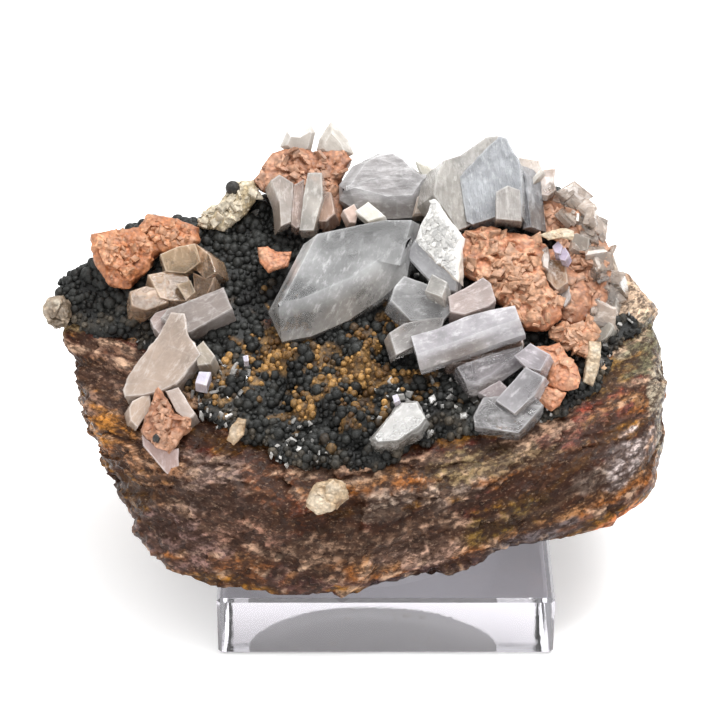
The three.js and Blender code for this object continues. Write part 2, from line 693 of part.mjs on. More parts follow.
addPiece('matrix_rock', geometryOf(stone), '#6f513b', 0.7);
addPiece('botryoidal_crust', geometryOf(crust), '#343737', 0.55);

// The round pad under the stone and the block with bevelled edges
const pad = new THREE.CylinderGeometry(PAD.radius, PAD.radius, PAD.height, PAD.sides);
pad.rotateX(Math.PI / 2);
pad.translate(PAD.across, PAD.forward, PAD_FOOT + PAD.height / 2);
addPiece('gel_pad', pad, '#8a8a86', 0.2);

function blockCorners() {
  const { side, height, bevel } = BLOCK;
  const [half, inner] = [side / 2, side / 2 - bevel];
  const signs = [-1, 1];
  return signs.flatMap((x) => signs.flatMap((y) => [
    [x * inner, y * inner, 0], [x * inner, y * inner, height],
    [x * half, y * inner, bevel], [x * half, y * inner, height - bevel],
    [x * inner, y * half, bevel], [x * inner, y * half, height - bevel],
  ])).map(([x, y, z]) => new THREE.Vector3(x, y, z));
}

addPiece('acrylic_block', new ConvexGeometry(blockCorners()), '#dfe6e6', 0.05);

export default part;
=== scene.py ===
"""Baryte with fluorite on its display block. Metres, +Z up, the block's front toward -Y."""

from math import radians

import bpy
import numpy as np
from mathutils.kdtree import KDTree
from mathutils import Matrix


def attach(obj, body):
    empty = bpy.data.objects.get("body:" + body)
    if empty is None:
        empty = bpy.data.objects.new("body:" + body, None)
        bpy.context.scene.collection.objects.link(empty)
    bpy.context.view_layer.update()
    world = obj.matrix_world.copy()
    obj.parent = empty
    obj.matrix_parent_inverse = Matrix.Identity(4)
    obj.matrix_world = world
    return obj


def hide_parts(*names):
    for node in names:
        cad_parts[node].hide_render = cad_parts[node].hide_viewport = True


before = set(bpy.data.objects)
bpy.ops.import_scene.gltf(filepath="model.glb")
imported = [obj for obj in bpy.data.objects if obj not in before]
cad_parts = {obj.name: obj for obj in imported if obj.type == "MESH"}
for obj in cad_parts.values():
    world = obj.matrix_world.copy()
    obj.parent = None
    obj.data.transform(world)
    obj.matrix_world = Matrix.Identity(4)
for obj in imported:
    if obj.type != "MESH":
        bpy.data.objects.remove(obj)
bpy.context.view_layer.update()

# Floor, lights and camera
# A pale seamless floor under one large soft overhead light and a weak front fill. The camera looks down by
# 31 degrees on the block's front through a long lens.
SIGHT_DIP = 31
EYE = (-0.00383, -0.34786, 0.24525)

eye_data = bpy.data.cameras.new("eye")
eye_data.lens = 135
eye_data.sensor_width = 36
eye = bpy.data.objects.new("eye", eye_data)
eye.location = EYE
eye.rotation_euler = (radians(90 - SIGHT_DIP), 0, 0)
bpy.context.scene.collection.objects.link(eye)
bpy.context.scene.camera = eye
bpy.context.scene.view_settings.view_transform = "Standard"


class Wire:
    """One output in a material. Arithmetic on wires adds Math nodes; node() makes any other node."""

    def __init__(self, tree, socket):
        self.tree = tree
        self.socket = socket

    def node(self, kind, settings=None, inputs=None, output=0):
        """A node of a kind: its settings first, then a value or wire for each input by name or number."""
        made = self.tree.nodes.new(kind)
        for key, value in (settings or {}).items():
            setattr(made, key, value)
        for key, value in (inputs or {}).items():
            if isinstance(value, Wire):
                self.tree.links.new(value.socket, made.inputs[key])
            else:
                made.inputs[key].default_value = value
        return Wire(self.tree, made.outputs[output])

    def math(self, operation, *values):
        return self.node("ShaderNodeMath", {"operation": operation}, dict(enumerate(values)))

    def __add__(self, other):
        return self.math("ADD", self, other)

    def __radd__(self, other):
        return self.math("ADD", other, self)

    def __sub__(self, other):
        return self.math("SUBTRACT", self, other)

    def __rsub__(self, other):
        return self.math("SUBTRACT", other, self)

    def __mul__(self, other):
        return self.math("MULTIPLY", self, other)

    def __rmul__(self, other):
        return self.math("MULTIPLY", other, self)

    def ramped(self, low, high):
        """0 below low, 1 above high, smooth between."""
        smooth = {"interpolation_type": "SMOOTHSTEP"}
        return self.node("ShaderNodeMapRange", smooth, {0: self, 1: low, 2: high})

    def painted(self, name, output=0):
        """The piece's per-point attribute as a colour; output 1 gives it as a place, and 3 its alpha."""
        return self.node("ShaderNodeAttribute", {"attribute_name": name}, None, output)

    def stretched(self, x, y, z):
        """A place in metres or millimetres, multiplied along each axis."""
        return self.node("ShaderNodeVectorMath", {"operation": "MULTIPLY"}, {0: self, 1: (x, y, z)})

    def cloud(self, scale, detail=3, rough=0.55):
        """Soft noise at this place, about 0 to 1, scale cells to the unit."""
        sizes = {"Scale": scale, "Detail": detail, "Roughness": rough}
        return self.node("ShaderNodeTexNoise", None, {"Vector": self, **sizes})

    def cells(self, scale, feature="F1"):
        """Distance in a Voronoi pattern at this place."""
        return self.node("ShaderNodeTexVoronoi", {"feature": feature}, {"Vector": self, "Scale": scale})

    def tint(self, first, second):
        """The first colour where this is 0, the second where it is 1."""
        return self.node("ShaderNodeMix", {"data_type": "RGBA"}, {0: self, 6: first, 7: second}, 2)

    def shade(self, colour, low, high):
        """A colour made darker or lighter: times low where this is 0, times high where it is 1."""
        level = self.node("ShaderNodeMapRange", None, {0: self, 3: low, 4: high})
        plain = colour if isinstance(colour, Wire) else colour[:3]
        return self.node("ShaderNodeVectorMath", {"operation": "SCALE"}, {0: plain, "Scale": level})

    def raised(self, strength, distance):
        """A bump from this height, for the shader's Normal."""
        sizes = {"Strength": strength, "Distance": distance}
        return self.node("ShaderNodeBump", None, {"Height": self, **sizes})


def ink(red, green, blue):
    """A colour by its 0 to 255 screen levels, as linear light with full alpha."""
    level = np.array([red, green, blue]) / 255
    linear = np.where(level > 0.04045, ((level + 0.055) / 1.055) ** 2.4, level / 12.92)
    return (*[float(v) for v in linear], 1.0)


def finish(name, **constants):
    """A material with one Principled shader, its constant sockets set. Gives it, the shader and its place."""
    made = bpy.data.materials.new(name)
    made.use_nodes = True
    tree = made.node_tree
    shader = tree.nodes["Principled BSDF"]
    for key, value in constants.items():
        shader.inputs[key.replace("_", " ")].default_value = value
    place = tree.nodes.new("ShaderNodeTexCoord")
    return made, shader, Wire(tree, place.outputs["Object"])


def wear(shader, **wires):
    """Leads wires to a shader's sockets."""
    for key, wire in wires.items():
        wire.tree.links.new(wire.socket, shader.inputs[key.replace("_", " ")])


FLOOR_REACH = 2.5
FLOOR_LEVEL = -0.0001
corners = np.array([[-1, -1], [1, -1], [1, 1], [-1, 1]]) * FLOOR_REACH
floor_mesh = bpy.data.meshes.new("floor")
floor_mesh.from_pydata([(x, y, FLOOR_LEVEL) for x, y in corners], [], [(0, 1, 2, 3)])
floor = bpy.data.objects.new("floor", floor_mesh)
bpy.context.scene.collection.objects.link(floor)
floor_paint, floor_shader, floor_place = finish(
    "floor_paint", Roughness=0.85, Emission_Color=(1, 1, 1, 1), Emission_Strength=0.3)
wear(floor_shader, Base_Color=floor_place.cloud(40).shade(ink(247, 247, 247), 0.98, 1.02))
floor_mesh.materials.append(floor_paint)

world = bpy.data.worlds.new("room")
bpy.context.scene.world = world
world.use_nodes = True
backdrop = world.node_tree.nodes["Background"]
look_way = Wire(world.node_tree, world.node_tree.nodes.new("ShaderNodeTexCoord").outputs["Generated"])
height = look_way.node("ShaderNodeSeparateXYZ", None, {0: look_way}, 2)
glow = height.node("ShaderNodeMapRange", None, {0: height, 1: -0.1, 2: 0.9, 3: 0.34, 4: 1.28})
world.node_tree.links.new(glow.socket, backdrop.inputs["Strength"])
backdrop.inputs["Color"].default_value = (1.0, 1.0, 1.0, 1)


def soft_light(name, at, aim, side, power):
    """A square area light at a place, turned so that it looks at its aim."""
    data = bpy.data.lights.new(name, "AREA")
    data.size = side
    data.energy = power
    made = bpy.data.objects.new(name, data)
    look = np.array(aim) - np.array(at)
    flat = np.hypot(look[0], look[1])
    made.location = at
    made.rotation_euler = (np.arctan2(flat, -look[2]), 0, np.arctan2(look[0], -look[1]) + np.pi)
    bpy.context.scene.collection.objects.link(made)


soft_light("overhead", (0.14, 0.12, 0.62), (0, 0, 0.02), 0.4, 4.2)
soft_light("front_fill", (-0.3, -0.6, 0.42), (0, 0, 0.03), 0.5, 1.2)

# Display block and gel pad
# A clear acrylic block, sawn, polished and bevelled, and on it a round pad of soft gel that holds the
# stone. The pad wets the block's top, so it and the air bubbles under it show through the front face.
# The acrylic's grey-violet base colour is painted shade: it dims the block as the stone's shadow and its
# reflection in the top face would.
acrylic, acrylic_shader, acrylic_place = finish(
    "acrylic", Base_Color=(0.63, 0.615, 0.66, 1), Transmission_Weight=1.0, IOR=1.49)
haze = acrylic_place.cloud(900, 2).ramped(0.35, 0.75)
saw_marks = acrylic_place.stretched(1, 1, 0.02).cloud(1500, 2)
wear(acrylic_shader, Roughness=0.015 + haze * 0.03, Normal=saw_marks.raised(0.05, 0.0001))
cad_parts["acrylic_block"].data.materials.clear()
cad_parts["acrylic_block"].data.materials.append(acrylic)

# The sight line's axes as rows: across, up, and toward the viewer along the camera's dip
SIGHT = np.array([[1, 0, 0], [0, 0.51504, 0.85717], [0, -0.85717, 0.51504]])


def placed(sight):
    """Millimetres across, up and toward the viewer along the sight line, turned to the part's x, y, z."""
    return np.asarray(sight, float) @ SIGHT


def closed_from_rings(rings, first, last):
    """Points and faces of a closed surface: a grid of rings between a first and a last pole."""
    count, around = rings.shape[:2]
    points = np.concatenate([[first], rings.reshape(-1, 3), [last]])
    ring, step = np.meshgrid(np.arange(count - 1), np.arange(around), indexing="ij")
    ring, step = ring.ravel(), step.ravel()
    after = (step + 1) % around
    a, b = 1 + ring * around + step, 1 + ring * around + after
    quads = np.stack([a, a + around, b + around, b], 1)
    turn = np.arange(around)
    nxt = (turn + 1) % around
    top = np.stack([np.zeros(around, int), 1 + turn, 1 + nxt], 1)
    low = 1 + (count - 1) * around
    end = np.stack([np.full(around, len(points) - 1), low + nxt, low + turn], 1)
    return points, quads, np.concatenate([top, end])


def gathered(shapes):
    """Several shapes (points, quads, triangles, then any per-point values) joined end to end as one."""
    starts = np.cumsum([0] + [len(s[0]) for s in shapes[:-1]])
    points = np.concatenate([s[0] for s in shapes])
    quads = np.concatenate([s[1] + n for s, n in zip(shapes, starts)])
    triangles = np.concatenate([s[2] + n for s, n in zip(shapes, starts)])
    extra = [np.concatenate([s[i] for s in shapes]) for i in range(3, len(shapes[0]))]
    return (points, quads, triangles, *extra)


def piece(name, shape, material, stands_for, values=None, sharp=None):
    """A finished piece from points in millimetres, quads and triangles. Values are per-point attributes by
    name. Faces that meet at more than the sharp angle keep a crisp edge."""
    points, quads, triangles = shape[:3]
    mesh = bpy.data.meshes.new(name)
    mesh.vertices.add(len(points))
    mesh.vertices.foreach_set("co", (points / 1000).ravel())
    corners_of = np.concatenate([quads.ravel(), triangles.ravel()]).astype(np.int32)
    starts = np.concatenate([np.arange(len(quads)) * 4, len(quads) * 4 + np.arange(len(triangles)) * 3])
    mesh.loops.add(len(corners_of))
    mesh.loops.foreach_set("vertex_index", corners_of)
    mesh.polygons.add(len(starts))
    mesh.polygons.foreach_set("loop_start", starts.astype(np.int32))
    mesh.update(calc_edges=True)
    mesh.validate()
    mesh.polygons.foreach_set("use_smooth", np.ones(len(mesh.polygons), bool))
    if sharp is not None:
        mesh.set_sharp_from_angle(angle=radians(sharp))
    for key, value in (values or {}).items():
        if value.shape[1] == 4:
            mesh.attributes.new(key, "FLOAT_COLOR", "POINT").data.foreach_set("color", value.ravel())
        else:
            mesh.attributes.new(key, "FLOAT_VECTOR", "POINT").data.foreach_set("vector", value.ravel())
    mesh.materials.append(material)
    made = bpy.data.objects.new(name, mesh)
    bpy.context.scene.collection.objects.link(made)
    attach(made, "root")
    if stands_for:
        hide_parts(*stands_for)


PAD = {"radius": 19.8, "across": -2.0, "forward": -0.8, "top": 11.1, "foot": 9.98}


def pad_shape():
    """A flat round cushion: its profile from top to foot, over a rounded rim, carried round."""
    out = np.array([0.3, 0.6, 0.9, 0.975, 0.995, 1, 0.995, 0.97, 0.6, 0.3])
    level = np.array([1, 1, 1, 0.93, 0.75, 0.5, 0.25, 0, 0, 0])
    turn = np.linspace(0, 2 * np.pi, 96, endpoint=False)
    wobble = 1 + 0.012 * np.sin(3 * turn + 1) + 0.008 * np.sin(7 * turn)
    x = PAD["across"] + PAD["radius"] * out[:, None] * np.cos(turn) * wobble
    y = PAD["forward"] + PAD["radius"] * out[:, None] * np.sin(turn) * wobble
    z = np.broadcast_to((PAD["foot"] + (PAD["top"] - PAD["foot"]) * level)[:, None], x.shape)
    middle = [PAD["across"], PAD["forward"]]
    return closed_from_rings(np.stack([x, y, z], 2), [*middle, PAD["top"]], [*middle, PAD["foot"]])


gel, gel_shader, gel_place = finish("gel", IOR=1.42, Transmission_Weight=0.12)
gel_mottle = gel_place.cloud(260, 3)
wear(gel_shader, Base_Color=gel_mottle.tint(ink(232, 231, 229), ink(254, 254, 251)),
     Roughness=0.25 + gel_mottle * 0.2, Normal=gel_place.cloud(700, 2).raised(0.15, 0.0003))
piece("gel_pad_round", pad_shape(), gel, ["gel_pad"], sharp=50)


def ball_grid(rings, around):
    """A ball of radius 1 as rings round the z axis."""
    slope = np.linspace(0, np.pi, rings + 2)[1:-1]
    turn = np.linspace(0, 2 * np.pi, around, endpoint=False)
    x = np.sin(slope)[:, None] * np.cos(turn)
    y = np.sin(slope)[:, None] * np.sin(turn)
    z = np.broadcast_to(np.cos(slope)[:, None], x.shape)
    return closed_from_rings(np.stack([x, y, z], 2), [0, 0, 1], [0, 0, -1])


def repeated(shape, centres, frames):
    """One shape set at each centre, its axes given by the rows of each frame: all copies in one array."""
    points, quads, triangles = shape[:3]
    copies = len(centres)
    placed_points = np.einsum("pi,kij->kpj", points, frames) + centres[:, None, :]
    starts = (np.arange(copies) * len(points))[:, None, None]
    return placed_points.reshape(-1, 3), (quads + starts).reshape(-1, 4), (triangles + starts).reshape(-1, 3)


def flat_frames(sizes):
    """Unturned frames, one size on each axis."""
    frames = np.zeros((len(sizes), 3, 3))
    frames[:, [0, 1, 2], [0, 1, 2]] = sizes
    return frames


BUBBLES = 40
BUBBLE_LEVEL = 9.99
dice = np.random.default_rng(3)
bubble_way = np.sqrt(dice.uniform(0.03, 0.9, BUBBLES)) * PAD["radius"]
bubble_turn = dice.uniform(0, 2 * np.pi, BUBBLES)
bubble_x = PAD["across"] + bubble_way * np.cos(bubble_turn)
bubble_y = PAD["forward"] + bubble_way * np.sin(bubble_turn)
bubble_at = np.stack([bubble_x, bubble_y, np.full(BUBBLES, BUBBLE_LEVEL)], 1)
bubble_size = dice.uniform(0.18, 0.8, (BUBBLES, 1)) * np.array([1, 1, 0.06])
bubble_look, bubble_shader, bubble_place = finish("bubble", IOR=1.3)
wear(bubble_shader, Base_Color=bubble_place.cloud(900).tint(ink(226, 220, 210), ink(254, 250, 242)),
     Roughness=0.2 + bubble_place.cloud(500) * 0.2)
bubble_shape = repeated(ball_grid(5, 12), bubble_at, flat_frames(bubble_size))
piece("pad_bubbles", bubble_shape, bubble_look, None)

# Gangue rock
# The broken lump that carries everything: brown to pinkish banded gangue, broken along flat faces with
# ledges where the bands part, pits and chipped edges. One natural piece; its foot rests on the pad.
MIDDLE = np.array([-3.0, 3.0, 25.0])
REACH = np.array([44.0, 29.0, 22.0])
STONE_FOOT = 11.2
# Faces of the break: a point across, up and toward, and the way that the face looks
BROKEN_FACES = np.array([
    [-49, 34, 12, -0.95, -0.28, 0.1], [-49.5, 46, 6, -0.75, 0.64, 0.15], [-38, 50, 2, -0.12, 0.97, 0.2],
    [-43.5, 26, 23, -0.62, -0.12, 0.77], [-44, 10.5, 21, -0.79, -0.61, 0.05],
    [-33.6, -0.8, 26, -0.6, -0.8, 0.1], [-21.4, -5.8, 27.5, -0.23, -0.97, 0.12],
    [-6, -4.8, 27, 0.1, -0.99, 0.1], [13, -0.8, 26, 0.28, -0.95, 0.15], [33, 6.4, 23, 0.27, -0.95, 0.12],
    [42, 16, 15, 0.98, -0.17, 0.05], [43, 31, 8, 0.99, 0.1, 0.05], [40.6, 38.6, 5, 0.74, 0.66, 0.12],
    [-5, 9, 34.5, 0.02, -0.38, 0.93], [-22, 12, 33.5, -0.26, -0.36, 0.9], [24, 14, 31.5, 0.16, -0.42, 0.89],
    [37, 22, 26, 0.42, -0.05, 0.9], [-5, 18, 29, 0, 0.42, 0.9], [-3, 30, 18.8, -0.02, 0.6, 0.8],
    [-34, 43, 8, -0.2, 0.6, 0.78], [32, 42, 7.5, 0.26, 0.6, 0.76]])
# Faces that the photograph doesn't show, in x, y, z: a point and a way
HIDDEN_FACES = np.array([
    [-3, 0, STONE_FOOT - 2.2, 0, 0, -1], [8, -8, STONE_FOOT - 0.6, 0.25, 0, -0.97],
    [-27, -6, STONE_FOOT - 1.5, -0.4, 0, -0.92], [0, 35, 34, 0.05, 0.99, 0.1], [4, 23, 18, 0.08, 0.72, -0.69],
    [-41, 24, 34, -0.68, 0.72, 0.1], [39, 23, 30, 0.66, 0.74, -0.1], [-3, 27, 51, 0, 0.3, 0.95]])
# Pits: where, how wide and how deep. Swells: a wave's three numbers, its height and its start
PITS = np.array([[-5.3, 8, 33, 4.6, 2.6], [-24, 6, 29, 4, 1.6], [22, 17, 30, 6, 1.5], [33, 36, 16, 4, 2.4]])
SWELLS = np.array([[0.32, 0.21, -0.27, 0.6, 0.6], [-0.55, 0.62, 0.48, 0.2, 2.1]])
LEDGE_HEIGHT = 5.2
THICK_BED = 2.3
THIN_BED = 0.95
LEDGE_FACING = placed([-0.5, 0.78, 0.38]) / np.linalg.norm([-0.5, 0.78, 0.38])
# The crust's lower edge: across and up
CRUST_EDGE = np.array([
    [-54, 37], [-46, 35.5], [-40, 34], [-33, 31], [-28, 25.5], [-23, 20.5], [-17, 17.5], [-12.5, 13.5],
    [-8, 12], [-2.5, 13.5], [2, 16.5], [8, 19.5], [12, 20.3], [23, 21.8], [30, 25], [36, 33], [46, 38]])
face_points = np.concatenate([placed(BROKEN_FACES[:, :3]), HIDDEN_FACES[:, :3]])
face_normals = np.concatenate([placed(BROKEN_FACES[:, 3:]), HIDDEN_FACES[:, 3:]])
face_normals /= np.linalg.norm(face_normals, axis=1, keepdims=True)
face_distance = ((face_points - MIDDLE) * face_normals).sum(1)


def step_up(value, low, high):
    """0 below low, 1 above high, smooth between, for whole arrays."""
    part = np.clip((value - low) / (high - low), 0, 1)
    return part * part * (3 - 2 * part)


def chance_at(cell, seed):
    """A number from 0 to 1 for each whole-number place, mixed from its three coordinates and a seed."""
    mixed = cell[..., 0] * 73856093 ^ cell[..., 1] * 19349663 ^ cell[..., 2] * 83492791 ^ seed * 2654435761
    mixed = (mixed ^ (mixed >> 13)) * 1274126177 & 0xFFFFFFFF
    mixed = (mixed ^ (mixed >> 16)) * 2246822519 & 0xFFFFFFFF
    return ((mixed ^ (mixed >> 15)) & 0xFFFFFF) / 0xFFFFFF


def rolling(points, pitch, seed=1):
    """Smooth noise from -1 to 1: chance values at the corners of cubes of one pitch, blended inside each."""
    scaled = points / pitch
    cell = np.floor(scaled).astype(np.int64)
    inside = scaled - cell
    inside = inside * inside * (3 - 2 * inside)
    total = 0
    for corner in np.ndindex(2, 2, 2):
        weight = np.prod(np.where(np.array(corner) == 1, inside, 1 - inside), axis=-1)
        total = total + weight * chance_at(cell + np.array(corner), seed)
    return 2 * total - 1


def chipped(points, pitch, seed=1):
    """Broken facets: seeds lie scattered, one to a cube, each with its own tilted plane, and a point takes
    the plane of its nearest seed, blended over a narrow edge. Gives a height of about a third of the
    pitch."""
    cell = np.floor(points / pitch).astype(np.int64)
    height = share = 0
    for step in np.ndindex(3, 3, 3):
        near = cell + np.array(step) - 1
        spot = np.stack([chance_at(near, seed + i) for i in range(3)], -1)
        tilt = np.stack([chance_at(near, seed + 5 + i) for i in range(3)], -1) - 0.5
        away = points - (near + spot) * pitch
        weight = np.exp(-26 * (away * away).sum(-1) / pitch ** 2)
        height = height + weight * (away * tilt).sum(-1) * 2
        share = share + weight
    return height / share


def way_out(points):
    """Unit ways from the stone's middle to points."""
    return (points - MIDDLE) / np.linalg.norm(points - MIDDLE, axis=1, keepdims=True)


def over_edge(points):
    """How far up points lie above the crust's lower edge."""
    return (points @ SIGHT.T)[:, 1] - np.interp(points[:, 0], *CRUST_EDGE.T)


def sag(across):
    """How far the gangue's layers have risen from their lowest line, as in a shallow bowl."""
    return 0.006 * (across + 8) ** 2


def layered(points):
    """A place along the gangue's layers, across them and in depth."""
    across, up, toward = (points @ SIGHT.T).T
    return np.stack([across, up - sag(across), toward], 1)


def streaked(layers, along, across, seed):
    """Noise from -1 to 1 drawn out along the layers: its cells to a millimetre along and across them."""
    return rolling(layers * np.array([along, across, along]), 1, seed)


def stone_reach(way):
    """Reach of the stone from its middle along unit ways: a soft minimum over the broken faces, with slow
    swells, a saw tooth of ledges across the bands, and pits."""
    toward = np.maximum(0, way @ face_normals.T) / face_distance
    smooth = (toward ** 24).sum(1) ** (-1 / 24)
    at = way * smooth[:, None] + MIDDLE
    swell = (SWELLS[:, 3] * np.sin(at @ SWELLS[:, :3].T + SWELLS[:, 4])).sum(1)
    steps = at @ LEDGE_FACING / LEDGE_HEIGHT
    ledge = 0.45 * (steps - np.floor(steps) - 0.5)
    away = np.linalg.norm(at[:, None] - placed(PITS[:, :3])[None], axis=2) / PITS[:, 3]
    pit = (PITS[:, 4] * np.exp(-away * away)).sum(1)
    return smooth + swell + ledge - pit


def above_foot(way, reach):
    """The reach, cut where it would pass below the stone's foot."""
    down = np.where(way[:, 2] < 0, (MIDDLE[2] - STONE_FOOT) / np.maximum(-way[:, 2], 1e-9), np.inf)
    return np.minimum(reach, down)


def ways_round(rings, spokes):
    """Unit ways from the middle, in rings round X spread as on an ellipsoid, between its poles."""
    along = np.linspace(0, np.pi, rings + 2)[1:-1, None]
    turn = np.linspace(0, 2 * np.pi, spokes, endpoint=False)
    way = np.stack(np.broadcast_arrays(REACH[0] * np.cos(along), REACH[1] * np.sin(along) * np.cos(turn),
                                       REACH[2] * np.sin(along) * np.sin(turn)), 2)
    way = np.concatenate([[[1.0, 0, 0]], way.reshape(-1, 3), [[-1.0, 0, 0]]])
    return way / np.linalg.norm(way, axis=1, keepdims=True)


def body_of(rings, spokes, reach_of):
    """A closed body round the middle, from its reach along each way."""
    way = ways_round(rings, spokes)
    points = way * above_foot(way, reach_of(way))[:, None] + MIDDLE
    return closed_from_rings(points[1:-1].reshape(rings, spokes, 3), points[0], points[-1])


def bare_end(points):
    """1 on the stone's right end, where the rock is bare and stands higher, but for one hollow."""
    across, up = (points @ SIGHT.T)[:, :2].T
    hollow = step_up(1.25 - np.hypot((across - 35.2) / 3, (up - 33) / 4.2), 0, 0.3)
    return step_up(across + 0.8 * rolling(points, 2.2, 19), 31.2, 32.6) * (1 - hollow)


def strata(level, seed):
    """Beds of chance heights from 0 to 1, one to each unit of the level, with a narrow step between two.
    Gives the height, and how much a place faces down on its step (below 0 where it faces up)."""
    low = np.floor(level).astype(np.int64)
    lower, upper = [chance_at(np.stack([low + i, low * 0, low * 0], -1), seed) for i in (0, 1)]
    part = level - low
    return lower + (upper - lower) * step_up(part, 0.74, 1), (upper - lower) * step_up(part, 0.5, 0.8)


def bedding(points):
    """The levels of the thick and the thin beds at a place, wandering slowly."""
    layers = layered(points)[:, 1]
    wander = 0.9 * rolling(points, 7, 14) + 0.35 * rolling(points, 2.2, 15)
    return layers / THICK_BED + wander, layers / THIN_BED + 2 * wander


def rough_stone_reach(way):
    """The stone's reach with its fine break: chips of three sizes, thick and thin beds, and streaks."""
    reach = stone_reach(way)
    at = way * reach[:, None] + MIDDLE
    layers = layered(at)
    thick_beds, thin_beds = bedding(at)
    fine = 0.13 * chipped(at, 6.4, 11) + 0.2 * chipped(at, 2.4, 12) + 0.3 * chipped(at, 1.2, 13) - 0.3
    fine += 1.25 * (strata(thick_beds, 16)[0] - 0.5) + 0.6 * (strata(thin_beds, 17)[0] - 0.5)
    fine += 0.25 * streaked(layers, 0.3, 0.8, 18)
    fine = 0.1 + (fine - 0.1) * (1 - 0.6 * step_up(at[:, 0], 32, 38))
    return reach + fine + 1.9 * bare_end(at) * step_up(over_edge(at), 0, 3) * (at[:, 1] < 30)


def mixed_tints(amount, first, second):
    """Colours between two, per point, by an amount from 0 to 1."""
    amount = np.clip(amount, 0, 1)[:, None]
    return np.asarray(first) * (1 - amount) + np.asarray(second) * amount


def relief_of(points):
    """How far points stand out from the stone's body."""
    return np.linalg.norm(points - MIDDLE, axis=1) - stone_reach(way_out(points))


ROCK_INKS = np.array([ink(*c) for c in [
    (122, 72, 30), (136, 96, 62), (66, 36, 20), (160, 128, 106), (62, 24, 16), (124, 82, 24), (86, 58, 46)]])
# Stained patches: across, up, how wide and how high, and their ink
STAINS = [
    (-42, 27, 6, 7, (112, 86, 72)), (-41.5, 20.6, 4.2, 4.2, (158, 102, 36)),
    (-37, 11.5, 3, 2.6, (128, 88, 28)), (-35, 15, 5, 4, (146, 106, 78)), (-31, 5, 8, 4, (112, 88, 84)),
    (-24, 12, 7, 5, (120, 100, 92)), (-20, 6, 7, 3, (140, 104, 88)), (-17, 14, 4, 4, (86, 48, 26)),
    (-12, 9, 4, 3, (92, 42, 22)), (-20, 0.5, 6, 2.2, (104, 62, 32)), (-13, -1.6, 5, 2.4, (66, 44, 44)),
    (-8, 3, 6, 3, (128, 102, 84)), (-3, 7.2, 3.6, 2, (70, 26, 14)), (0, 10, 5, 2.6, (154, 136, 122)),
    (4, 3.5, 7, 3, (158, 128, 112)), (6, -1, 9, 2, (54, 40, 44)), (10, 12, 5, 2.4, (150, 130, 116)),
    (12, 15.6, 7, 2.6, (112, 96, 66)), (15, 11, 6, 1.6, (80, 42, 36)), (18, 8, 8, 2.8, (98, 76, 30)),
    (22, 17, 8, 2.2, (116, 96, 72)), (22, 4.5, 9, 1.6, (82, 76, 78)), (27, 21, 5, 1.6, (112, 70, 60)),
    (33, 25, 6, 1.8, (122, 52, 38)), (31, 21, 5, 1.4, (96, 52, 48)), (34, 29, 4, 2.4, (120, 92, 46)),
    (36, 17, 4, 3.4, (190, 176, 172)), (31, 14, 4, 1.8, (168, 152, 140)), (29, 18, 5, 1.4, (92, 44, 22)),
    (34, 7, 5, 1.4, (190, 112, 66)), (41.5, 26, 1.6, 12, (150, 140, 122)),
    (39, 39.5, 8, 5.5, (172, 162, 142)), (39, 33, 4, 4, (96, 92, 68)), (-50, 40, 4, 4, (150, 128, 92))]


def rock_tints(points):
    """Bands of gangue colours along the ledges, bent by slow noise, with the stained patches over them. Paler
    where the stone stands out and on its ledge tops, partly pale frosting and partly painted highlight;
    darker under the ledges and in the hollows as painted shade, and along dark streaks.
    """
    layers = layered(points)
    relief = relief_of(points)
    band = layers[:, 1] / 1.5 + 1.6 * rolling(points, 8, 21) + 0.8 * streaked(layers, 0.3, 0.6, 22)
    low = np.floor(band).astype(int)
    below, above = [ROCK_INKS[(low + i) % len(ROCK_INKS)] for i in (0, 1)]
    tint = mixed_tints(step_up(band - low, 0.4, 1), below, above)
    for i, (across, up, wide, high, colour) in enumerate(STAINS):
        level = up - sag(across)
        spread = ((layers[:, 0] - across) / wide) ** 2 + ((layers[:, 1] - level) / high) ** 2
        broken = streaked(layers, 0.3, 0.9, 23 + i) + 0.5 * rolling(points, 0.9, 60 + i)
        farthest = 34 if across > 38 else 12
        amount = step_up(1.3 - spread + broken, 0.1, 0.9) * (points[:, 1] < farthest)
        tint = mixed_tints(0.88 * amount, tint, ink(*colour))
    thick_beds, thin_beds = bedding(points)
    under = strata(thick_beds, 16)[1] + 0.7 * strata(thin_beds, 17)[1]
    # Pale frosting with painted highlight: paler on streaks, where the stone stands out and on ledge tops,
    # not on the downward-facing steps.
    pale = 0.9 * streaked(layers, 0.6, 1.3, 24) + 0.6 * rolling(points, 3.2, 25) + 0.9 * relief - 1.1 * under
    tint = mixed_tints(0.62 * step_up(pale, 0.45, 1.0), tint, ink(190, 158, 132))
    # Painted shade: darkest under the ledges and in the hollows, with dark streaks and specks as well.
    dark = 1.3 * under + 0.8 * streaked(layers, 0.5, 1.1, 26) + 0.6 * rolling(points, 0.6, 27) - 1.9 * relief
    return mixed_tints(0.85 * step_up(dark, 0.2, 0.85), tint, ink(44, 24, 12))


